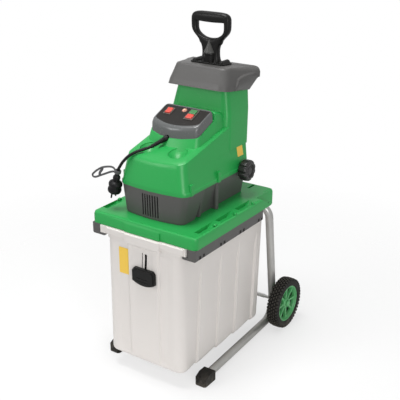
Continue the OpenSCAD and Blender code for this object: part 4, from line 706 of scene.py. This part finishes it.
def sideStations(z):
    # places along the side wall with how far the wall stands in: a slow fall, then a quick rise at each flute
    starts = [start + binLook["fluteLean"] * (z - 75) for start in binLook["fluteStarts"]]
    depth, step = binLook["fluteDepth"] * (1 - ease(z, *binLook["fluteEnd"])), binLook["fluteStep"]
    made, before = [], binLook["sideStart"]
    for start in starts:
        made += [(before + (start - before) * t, depth * t ** 1.6) for t in (0, 0.25, 0.5, 0.75, 1)]
        made += [(start + step * t, depth * (1 - ease(t, 0, 1))) for t in (0.25, 0.5, 0.75)]
        before = start + step
    return made + [(before, 0), (before + 8, 0)]


def plateau(x, low, high):
    return ease(x, low, low + binLook["stepWide"]) * (1 - ease(x, high - binLook["stepWide"], high))


def frontRelief(x, z):
    # raised middle panel, flanks drawn in beside it, a shallow recess above the latch and a scored mark
    panel = plateau(x, *binLook["panel"])
    flank = (1 - panel) * (1 - ease(abs(x), *binLook["flankEnd"])) * (1 - ease(z, *binLook["flankTop"]))
    dip = plateau(x, *binLook["recess"]) * ease(z, *binLook["recessTop"]) * binLook["recessDip"]
    (left, right), (low, high) = binLook["markX"], binLook["markZ"]
    if left <= x <= right and low <= z <= high:
        dip += binLook["markDip"]
    return (binLook["panelRise"] * panel - binLook["flankDip"] * flank) * ease(z, *binLook["panelFoot"]) - dip


def rearRelief(x, z):
    # two shallow upright channels in the rear wall
    channel = 1 - ease(abs(abs(x) - binLook["channelX"]), *binLook["channelEdge"])
    return binLook["channelDip"] * channel * ease(z, *binLook["channelFoot"]) * (1 - ease(z, *binLook["channelTop"]))


def binRing(z, inset):
    share = (z - binLook["low"]) / (binLook["high"] - binLook["low"])
    lift = (z - inset - binLook["low"]) / binLook["footTall"]
    pull = binLook["footPull"] * max(0, 1 - lift) ** 2.4  # rounds the lower edge
    half, rear = [low + (high - low) * share - inset - pull for low, high in (binLook["half"], binLook["rear"])]
    front = binLook["front"] + inset + pull
    radius = binLook["corner"] - inset * 0.5 - pull * 0.6
    midX, midFront, midRear = half - radius, front + radius, rear - radius
    side = sideStations(z)
    ring = [(x, front - (0 if inset else frontRelief(x, z))) for x in binFront]
    ring += cornerArc(midX, midFront, radius, 3)
    ring += [(half - inward, y) for y, inward in side]
    ring += cornerArc(midX, midRear, radius, 0)
    ring += [(x, rear - (0 if inset else rearRelief(x, z))) for x in binRear]
    ring += cornerArc(-midX, midRear, radius, 1)
    ring += [(inward - half, y) for y, inward in reversed(side)]
    ring += cornerArc(-midX, midFront, radius, 2)
    return [Vector((x, y, z)) for x, y in ring]


def binBody():
    # outer and inner skins with the latch slot left open through both
    wall = binLook["wall"]
    outer = [binRing(z, 0) for z in binLevels]
    inner = [binRing(z + wall * (1 - ease(z, *binLook["floorEdge"])), wall) for z in binLevels]
    count, across = len(outer[0]), len(outer[0]) * len(binLevels)
    left = binFront.index(binLook["slotLeft"])
    lowRow, highRow = [binLevels.index(z) for z in binLook["slotZ"]]
    slotFaces = [k * count + left for k in range(lowRow, highRow)]
    faces, skin = [], skinOf(outer, False)[1]
    for start in (0, across):
        faces += [tuple(i + start for i in face) for n, face in enumerate(skin) if n not in slotFaces]
        faces.append(tuple(range(start, start + count)))
    edges = [(across - count + i, across - count + (i + 1) % count) for i in range(count)]
    edges += [(k * count + i, (k + 1) * count + i) for i in (left, left + 1) for k in range(lowRow, highRow)]
    edges += [(k * count + left, k * count + left + 1) for k in (lowRow, highRow)]
    faces += [(a, b, b + across, a + across) for a, b in edges]
    return [p for ring in outer + inner for p in ring], faces


lipProfile = [(-279, 455), (-289, 455), (-290.4, 453.4), (-290.4, 430), (-289.3, 426.6), (-286.5, 424), (-279, 423.4)]
bandProfile = [(-279, 455.5), (-286.2, 455.5), (-287.4, 454.2), (-287.4, 439), (-286, 436.4), (-279, 435.4)]
wallProfile = [(-279.2, 440), (-282.1, 440), (-282.1, 425), (-281.4, 420), (-279.2, 420)]
binShapes = [binBody(), halfOf("bin", binLook["rimFrom"], True)]
build("binMoulding", binShapes, binPlastic, "bin", ["bin"], 38, "bin_plastic")
lipShapes = [bar(lipProfile, -58, 65), bar(bandProfile, -128, 144), bar(wallProfile, -114, 114)]
build("binLip", lipShapes, binPlastic, "bin", [], 40, "bin_plastic", (1.2, 3, 30))

# Painted shade: black bars in the edges of the latch slot and in the mark beside it
slotLook = {
    "left": (8.4, 9.72), "right": (14.28, 15.6), "mark": (-1.5, 0.3), "z": (339, 403), "back": -279.4,
    "foremost": -284.28,
}


def slotBar(left, right, low, high, proud=0.4):
    # follows the recess and stays behind the thumb block
    rings, back = [], slotLook["back"]
    for k in range(9):
        z = low + (high - low) * k / 8
        front = max(binLook["front"] - frontRelief(12, z) - proud, slotLook["foremost"])
        rings.append([Vector((x, y, z)) for x, y in ((left, front), (right, front), (right, back), (left, back))])
    return skinOf(rings)


slotLow, slotHigh = slotLook["z"]
slotShapes = [slotBar(*slotLook[edge], slotLow, slotHigh) for edge in ("left", "right")] + [
    slotBar(slotLook["left"][0], slotLook["right"][1], slotHigh - 0.5, slotHigh + 1.2),
    slotBar(*slotLook["mark"], slotLow + 2, slotHigh + 2, -1),
]
build("slotPaintedShade", slotShapes, blackPlastic, "bin", [], 30, "black_plastic")
print("bin moulded")

# Hood: flared shell with broad front corners, raised cheeks, seat for the pusher and the chute
hoodLook = {
    "low": 827, "tall": 57, "top": 885.5, "topSlope": -0.074, "seat": 874, "throatY": 62, "throat": (46, 20),
    "cheek": 6.5, "lineStart": 0.21, "lineLean": 0.05, "lineSweep": 0.74, "droop": 11, "droopX": (104, 125),
}
hoodOuter = [
    # half width in front and behind, front, rear, corner radii, height, slope
    (104, 99, -25, 124, 26, 10, 827, -0.148), (104, 102, -23.5, 126, 27, 11, 829.5, -0.13),
    (103, 110, -20, 131, 27, 11, 839, -0.093), (96, 127, -6, 136, 25, 12, 866, -0.1),
    (91.5, 127, 1, 137, 23, 12, 881, -0.08), (89.5, 125.4, 4, 135.4, 21, 11, 884, -0.074),
    (86, 122, 8, 132, 18, 9, 885.2, -0.074), (80, 116, 14, 126, 15, 8, 885.5, -0.074),
]


def hoodRing(row, level=-1):
    # the outline with a cheek on each side below a line that sweeps up to the rear; level 0 is the foot, 1 the top
    ring = outline(row)
    rearCount = 18  # places round the two rear corners
    start, cheek = 0.25, 0
    if level >= 0:
        start = hoodLook["lineStart"] + hoodLook["lineLean"] * level + hoodLook["lineSweep"] * ease(level, 0.52, 1.12)
        cheek = hoodLook["cheek"] * ease(level, 0, 0.08) * (1 - ease(level, 0.82, 0.98))
    shares = (start - 0.035, start - 0.012, start + 0.012, start + 0.035, start + (1 - start) * 0.5)
    lifts = (0, cheek * 0.35, cheek * 0.8, cheek, cheek * 0.55)
    right = [ring[-1].lerp(ring[0], t) + Vector((lift, 0, 0)) for t, lift in zip(shares, lifts)]
    left = [ring[rearCount].lerp(ring[rearCount - 1], t) - Vector((lift, 0, 0)) for t, lift in zip(shares, lifts)]
    ring = ring[:rearCount] + left[::-1] + ring[rearCount:] + right
    if level > 0.4:
        droop = hoodLook["droop"] * ease(level, 0.4, 0.95)
        low, high = hoodLook["droopX"]
        for p in ring:
            p.z -= droop * (max(0, abs(p.x) - low) / (high - low)) ** 2
    return ring


def betweenRows(rows, steps):
    made = []
    for before, after in zip(rows, rows[1:]):
        made += [[a + (b - a) * i / steps for a, b in zip(before, after)] for i in range(steps)]
    return made + [rows[-1]]


def hoodShape():
    y, seat, (halfX, halfY) = hoodLook["throatY"], hoodLook["seat"], hoodLook["throat"]
    rows = hoodOuter[:2] + betweenRows(hoodOuter[2:5], 4) + hoodOuter[5:]
    seatRow = evenRow(halfX + 8, y - halfY - 5, y + halfY + 5, 5, seat)
    topEdge = hoodRing(seatRow)
    for p in topEdge:
        p.z = hoodLook["top"] + hoodLook["topSlope"] * (p.y - 14)
    inside = [
        seatRow, evenRow(halfX, y - halfY, y + halfY, 5, seat), evenRow(halfX - 6, 18, 76, 5, 630),
        evenRow(halfX - 3, 15, 79, 5, 630), evenRow(halfX + 3, y - halfY - 3, y + halfY + 3, 5, 868),
        (86, 118, 10, 128, 16, 8, 877, -0.074), (92.5, 122, -1, 132, 22, 9, 864, -0.1),
        (99.5, 106, -16, 127, 24, 8, 839, -0.093), (100.5, 95.5, -21.5, 120.5, 23, 7, 830, -0.148),
        (80, 80, 16, 114, 14, 6, 824, -0.148), (80, 80, 16, 114, 14, 6, 821, -0.148),
    ]
    outside = [hoodRing(row, (row[6] - hoodLook["low"]) / hoodLook["tall"]) for row in rows]
    return closedSkin(outside + [topEdge] + [hoodRing(row) for row in inside])


build("hoodMoulding", [hoodShape()], greyPlastic, "stand", ["hopper_hood"], 40, "grey_plastic", (0.8, 2, 50))
print("hood moulded")

# Pusher: plunger from the solid, handle with a rounded opening, socket cone and rolled ears
pusherLook = {"low": 874.4, "y": 62, "earX": 45, "earLift": 12, "flangeLow": 884.3, "plungerTop": 876.9, "square": 0.8}
handleHalf = [
    # outer x and z, inner x and z, half depth
    (0, 155, 0, 124.5, 14.6), (20, 155, 18, 124.8, 14.5), (38, 154.4, 34, 125.6, 13.8), (51, 152.4, 43, 125.8, 12.8),
    (59.5, 148, 45.8, 124, 12.2), (64, 141, 46, 119, 12), (65, 131, 45.8, 113, 11.8), (65, 120, 45.6, 108, 11.6),
    (64.5, 110, 44.6, 102.6, 11.5), (62, 101, 42, 97, 11.5), (56, 92, 36.6, 91.4, 11.5), (47.5, 83.5, 28.6, 86.4, 11.5),
    (39.5, 74, 18.6, 82.6, 11.5), (33, 62, 8, 81, 11.5), (0, 50, 0, 80.6, 11.5),
]


def socketPart(rows):
    route = [(Vector((0, pusherLook["y"], pusherLook["low"] + z)), Vector((0, 0, 1))) for w, d, z in rows]
    return sweep(route, (1, 0, 0), [(w, d) for w, d, z in rows], 40)


def pusherBlock(rows, radius, low, slope=0):
    # rows of half width, half depth and height
    y = pusherLook["y"]
    return loft([evenRow(w, y - d, y + d, radius, low + z, slope) for w, d, z in rows])


def squared(value):
    # a sine or cosine pushed outwards, for a grip that is a little square
    return copysign(abs(value) ** pusherLook["square"], value)


def pusherHandle():
    loop = handleHalf + [(-a, b, -c, d, e) for a, b, c, d, e in reversed(handleHalf[1:-1])]
    smooth = throughRows(loop[-2:] + loop + loop[:3], 3)[6:-6]
    rings = []
    for outerX, outerZ, innerX, innerZ, depth in smooth[:-1]:
        middle = Vector(((outerX + innerX) / 2, pusherLook["y"], pusherLook["low"] + (outerZ + innerZ) / 2))
        reach = Vector(((outerX - innerX) / 2, 0, (outerZ - innerZ) / 2))
        deep = Vector((0, depth, 0))
        rings.append([middle + reach * squared(cos(a)) + deep * squared(sin(a)) for a in fullTurn(28)])
    return closedSkin(rings)


neckRows = [
    (38, 15, 5), (33, 14, 10), (30, 12.6, 17), (28, 11.4, 28), (27.4, 11, 40), (28.4, 11, 52), (31.6, 11, 62),
    (36, 11, 70)]
footRows = [(50, 16, 0), (51, 16, 1), (51, 16, 5), (50, 15, 6.2)]
flangeRows = [(56, 27, 0), (57, 28, 0.8), (57, 28, 3.4), (55.6, 26.6, 4.6)]
socketRows = [
    (20, 25, 11), (20, 25, 34), (20.4, 25.6, 35), (21.2, 26.6, 36), (21.2, 26.6, 39.4), (20.4, 25.8, 40.4),
    (18, 24, 41)]
coneRows = [(19, 25, 40.2), (18.8, 24.8, 42), (18, 24, 44), (10.4, 18, 60), (3, 12.4, 75.4), (0.6, 11.2, 77)]
earProfile = evened([(0.1, -20.6), (6.4, -20.6), (8, -19.4), (8.6, -18)])
pusherLow = pusherLook["low"]
pusherShapes = [
    pusherHandle(), pusherBlock(throughRows(neckRows, 3), 8, pusherLow), pusherBlock(footRows, 8, pusherLow),
    pusherBlock(flangeRows, 9, pusherLook["flangeLow"], hoodLook["topSlope"]), socketPart(socketRows)]
for x in (-pusherLook["earX"], pusherLook["earX"]):
    earPlace = (x, pusherLook["y"], pusherLow + pusherLook["earLift"])
    pusherShapes.append(lathe(earProfile, earPlace, (0, 1, 0), (1, 0, 0), 28))
pusherShapes.append(halfOf("pusher", pusherLook["plungerTop"], False))
build("pusherMoulding", pusherShapes, blackPlastic, "pusher", ["pusher"], 40, "black_plastic", (0.6, 2, 50))
build("pusherCone", [socketPart(coneRows)], conePlastic, "pusher", [], 40, "grey_plastic")
print("pusher shaped")

# Setting knob with ten grips
knobLook = {"origin": (117.3, 55, 580), "lobes": 10, "depth": 4.6, "sides": 128}
knobProfile = [
    # radius, distance along the axis, share of the grip depth
    (23, 0, 0), (27, 1, 0.3), (30.4, 4, 1), (31.9, 8, 1), (32, 15, 1), (32, 22, 1), (31, 25.6, 1), (28.6, 28.4, 0.8),
    (25.5, 29.8, 0.4), (22.6, 30, 0.1), (20.4, 29.4, 0), (19.2, 27.6, 0), (18.4, 25.4, 0), (17, 24.8, 0),
    (13.4, 24.8, 0), (12.2, 25.4, 0), (11.4, 26.8, 0), (10, 27.4, 0), (4, 27.6, 0), (0.05, 27.6, 0),
]
knobRings = []
for radius, along, share in knobProfile:
    ring = []
    for a in fullTurn(knobLook["sides"]):
        reach = radius - max(0, cos(knobLook["lobes"] * a)) ** 0.7 * knobLook["depth"] * share
        ring.append(Vector(knobLook["origin"]) + Vector((along, reach * cos(a), reach * sin(a))))
    knobRings.append(ring)
build("knobMoulding", [skinOf(knobRings)], knobPlastic, "adjuster", ["adjuster_knob"], 45, "black_plastic")
print("knob shaped")

# Wheels: tyre with five rows of tread blocks, spoked hub
wheelLook = {"centre": (191, axleY, axleZ), "treadCount": 44, "spokeCount": 8, "blockHalf": 4.1}
tyreProfile = evened([
    (60.1, -17), (63, -18.8), (67, -19), (68.2, -18.3), (69.6, -18.3), (70.8, -19), (74, -18.6), (76.6, -17),
    (78.4, -14.6), (79.4, -11.5)], [(79.8, 0)])
rimProfile = [
    (59.9, -16), (59.9, 15.6), (58.6, 16.6), (56.6, 16.6), (55.2, 15.4), (54.6, 13), (54.2, 11.4), (52.6, 9.4),
    (51.6, 6), (51.4, -13), (53, -16),
]
bossProfile = [
    (5.3, -18.4), (15.6, -18.4), (17, -16), (18, -2), (18, 7.6), (16.6, 10.4), (14, 12.6), (12.2, 13.6), (11.6, 13.2),
    (5.3, 13.2),
]
webProfile = [(14, -4), (53, -4), (53, 1.6), (14, 1.6)]
sleeveProfile = evened([(5.2, -118), (6.2, -118), (6.6, -117)])
spokeRows = [
    # radius, half width, inner and outer face
    (13, 5, -12, 8.4), (19, 4.2, -12, 8.8), (30, 3.4, -12, 9.6), (42, 3.4, -12, 10.4), (50, 4.4, -12, 10.8),
    (54, 6, -12, 10.8)]
treadRows = [
    # x, foot and top radius, half width, share of the pitch it is set on by
    (-15.4, 73, 82.4, 3.4, 0), (-7.8, 78, 83.9, 2.7, 0.5), (0, 78, 84, 2.7, 0), (7.8, 78, 83.9, 2.7, 0.5),
    (15.4, 73, 82.4, 3.4, 0)]


def treadBlock(x, base, top, halfX, share):
    # one tapered block standing on the tyre
    rows = []
    for r, trim in ((base, 0), (top - 0.5, 0.5), (top, 1)):
        wide, long = halfX - trim, wheelLook["blockHalf"] - trim
        rows.append([Vector((x + a * wide, b * long, r)) for a, b in ((-1, -1), (1, -1), (1, 1), (-1, 1))])
    spin = Matrix.Rotation(share * 2 * pi / wheelLook["treadCount"], 3, "X")
    corners, faces = skinOf(rows)
    return [spin @ p for p in corners], faces


def spokeShape():
    rings = []
    for r, half, low, high in spokeRows:
        section = evened([(low, -half), (high - 1.6, -half), (high - 0.5, 0.5 - half), (high, 1.6 - half)])
        rings.append([Vector((x, y, r)) for x, y in section])
    return skinOf(rings)


def axleHoop(profile, x, sides):
    return lathe(profile, (x, axleY, axleZ), (1, 0, 0), (0, 1, 0), sides, closedSkin)


def wheel(side):
    centre = wheelLook["centre"]
    tread = ringOf([treadBlock(*row) for row in treadRows], wheelLook["treadCount"], tyreRubber, centre)
    spokes = ringOf([spokeShape()], wheelLook["spokeCount"], hubPlastic, centre)
    tyre = [axleHoop(tyreProfile, centre[0], 96), tread]
    hub = [axleHoop(rimProfile, centre[0], 72), axleHoop(bossProfile, centre[0], 72), spokes]
    # the web behind the spokes takes the painted shade colour, so the gaps between the spokes read dark
    web = [axleHoop(webProfile, centre[0], 72)]
    if side == "Left":
        tyre, hub, web = [[mirrored(shape) for shape in group] for group in (tyre, hub, web)]
    low = side.lower()
    build("tyreRing" + side, tyre, tyreRubber, "wheel_" + low, ["tyre_" + low], 38, "tyre_rubber")
    build("spokedHub" + side, hub, hubPlastic, "wheel_" + low, ["wheel_hub_" + low], 38, "green_plastic")
    build("hubPaintedShadeWeb" + side, web, hubPaintedShade, "wheel_" + low, [], 38, "green_plastic")


build("axleSleeve", [axleHoop(sleeveProfile, 0, 32)], zincSteel, "stand", [], 40, "tube_steel")
wheel("Left")
wheel("Right")
print("wheels turned")

# Bare yellow plates
platePlaces = [
    ("plateBin", "bin", (-69.5, -279.7, 363), (1, 0, 0), (0, 0, 1), 17, 41),
    ("plateCowl", "stand", (105.3, 58.5, 637), (0, 1, 0), (-0.178, 0, 0.984), 15, 18),
]
for name, body, centre, across, upward, halfWide, halfHigh in platePlaces:
    across, upward = Vector(across).normalized(), Vector(upward).normalized()
    outward = across.cross(upward)
    rim = outline(evenRow(halfWide, -halfHigh, halfHigh, 2, 0), 4, 2)
    rings = [
        [Vector(centre) + (across * p.x + upward * p.y) * draw + outward * lift for p in rim]
        for lift, draw in ((-0.3, 1), (0.2, 1), (0.35, 0.99))]
    build(name, [skinOf(rings)], yellowPlate, body, [], 30)
print("plates fixed")

# Studio: pale floor that fades into the white surround, soft lights
studioLook = {
    "floorRadius": 4, "floorGlow": 0.62, "floorFade": (0.5, 1.5), "roomLight": 0.42, "glossShare": 0.5,
    "aim": (0, 0, 0.5), "lampSize": 1.2,
    "lamps": {
        "keyLight": ((-1.6, -2.7, 1.9), 24), "sideLight": ((2.6, -2.1, 1.3), 38), "topLight": ((-0.2, -0.4, 2.9), 48)},
}


def blendShader(tree, share, first, second):
    return newNode(tree, "ShaderNodeMixShader", {0: share, 1: first, 2: second}).outputs[0]


def paleFloor():
    mesh = bpy.data.meshes.new("floor")
    work = bmesh.new()
    bmesh.ops.create_circle(work, cap_ends=True, segments=96, radius=studioLook["floorRadius"])
    work.to_mesh(mesh)
    work.free()
    floor = addObject("floor", mesh)
    floor.location.z = -0.0005
    material = bpy.data.materials.new("paleFloor")
    material.use_nodes = True
    tree = material.node_tree
    shader = tree.nodes["Principled BSDF"]
    feed(tree, shader, {"Base Color": (0.9, 0.9, 0.9, 1), "Roughness": 0.85})
    reach = newNode(tree, "ShaderNodeVectorMath", {0: objectPlace(tree)}, operation="LENGTH").outputs["Value"]
    glow = newNode(tree, "ShaderNodeEmission", {"Strength": 1}).outputs[0]
    rays = tree.nodes.new("ShaderNodeLightPath").outputs
    seen = mathNode(tree, "MULTIPLY", rays["Is Camera Ray"], studioLook["floorGlow"])
    fade = rangeNode(tree, reach, *studioLook["floorFade"])
    clear = tree.nodes.new("ShaderNodeBsdfTransparent").outputs[0]
    fading = blendShader(tree, fade, blendShader(tree, seen, shader.outputs[0], glow), clear)
    feed(tree, tree.nodes["Material Output"], {"Surface": fading})
    mesh.materials.append(material)


def surround():
    world = bpy.data.worlds.new("surround")
    scene.world = world
    world.use_nodes = True
    tree = world.node_tree
    lit = tree.nodes["Background"]
    feed(tree, lit, {"Color": (1, 1, 1, 1), "Strength": studioLook["roomLight"]})
    seen = newNode(tree, "ShaderNodeBackground", {"Color": (1, 1, 1, 1), "Strength": 1})
    rays = tree.nodes.new("ShaderNodeLightPath").outputs
    gloss = mathNode(tree, "MULTIPLY", rays["Is Glossy Ray"], studioLook["glossShare"])
    share = mathNode(tree, "MAXIMUM", rays["Is Camera Ray"], rays["Is Transmission Ray"])
    mix = blendShader(tree, mathNode(tree, "MAXIMUM", share, gloss), lit.outputs[0], seen.outputs[0])
    feed(tree, tree.nodes["World Output"], {"Surface": mix})


paleFloor()
surround()
for name, (spot, power) in studioLook["lamps"].items():
    lamp = bpy.data.objects.new(name, bpy.data.lights.new(name, "AREA"))
    lamp.data.shape = "DISK"
    lamp.data.size = studioLook["lampSize"]
    lamp.data.energy = power
    lamp.location = spot
    lamp.rotation_euler = (Vector(studioLook["aim"]) - Vector(spot)).to_track_quat("-Z", "Y").to_euler()
    scene.collection.objects.link(lamp)
scene.view_settings.view_transform = "Standard"
print("studio lit")
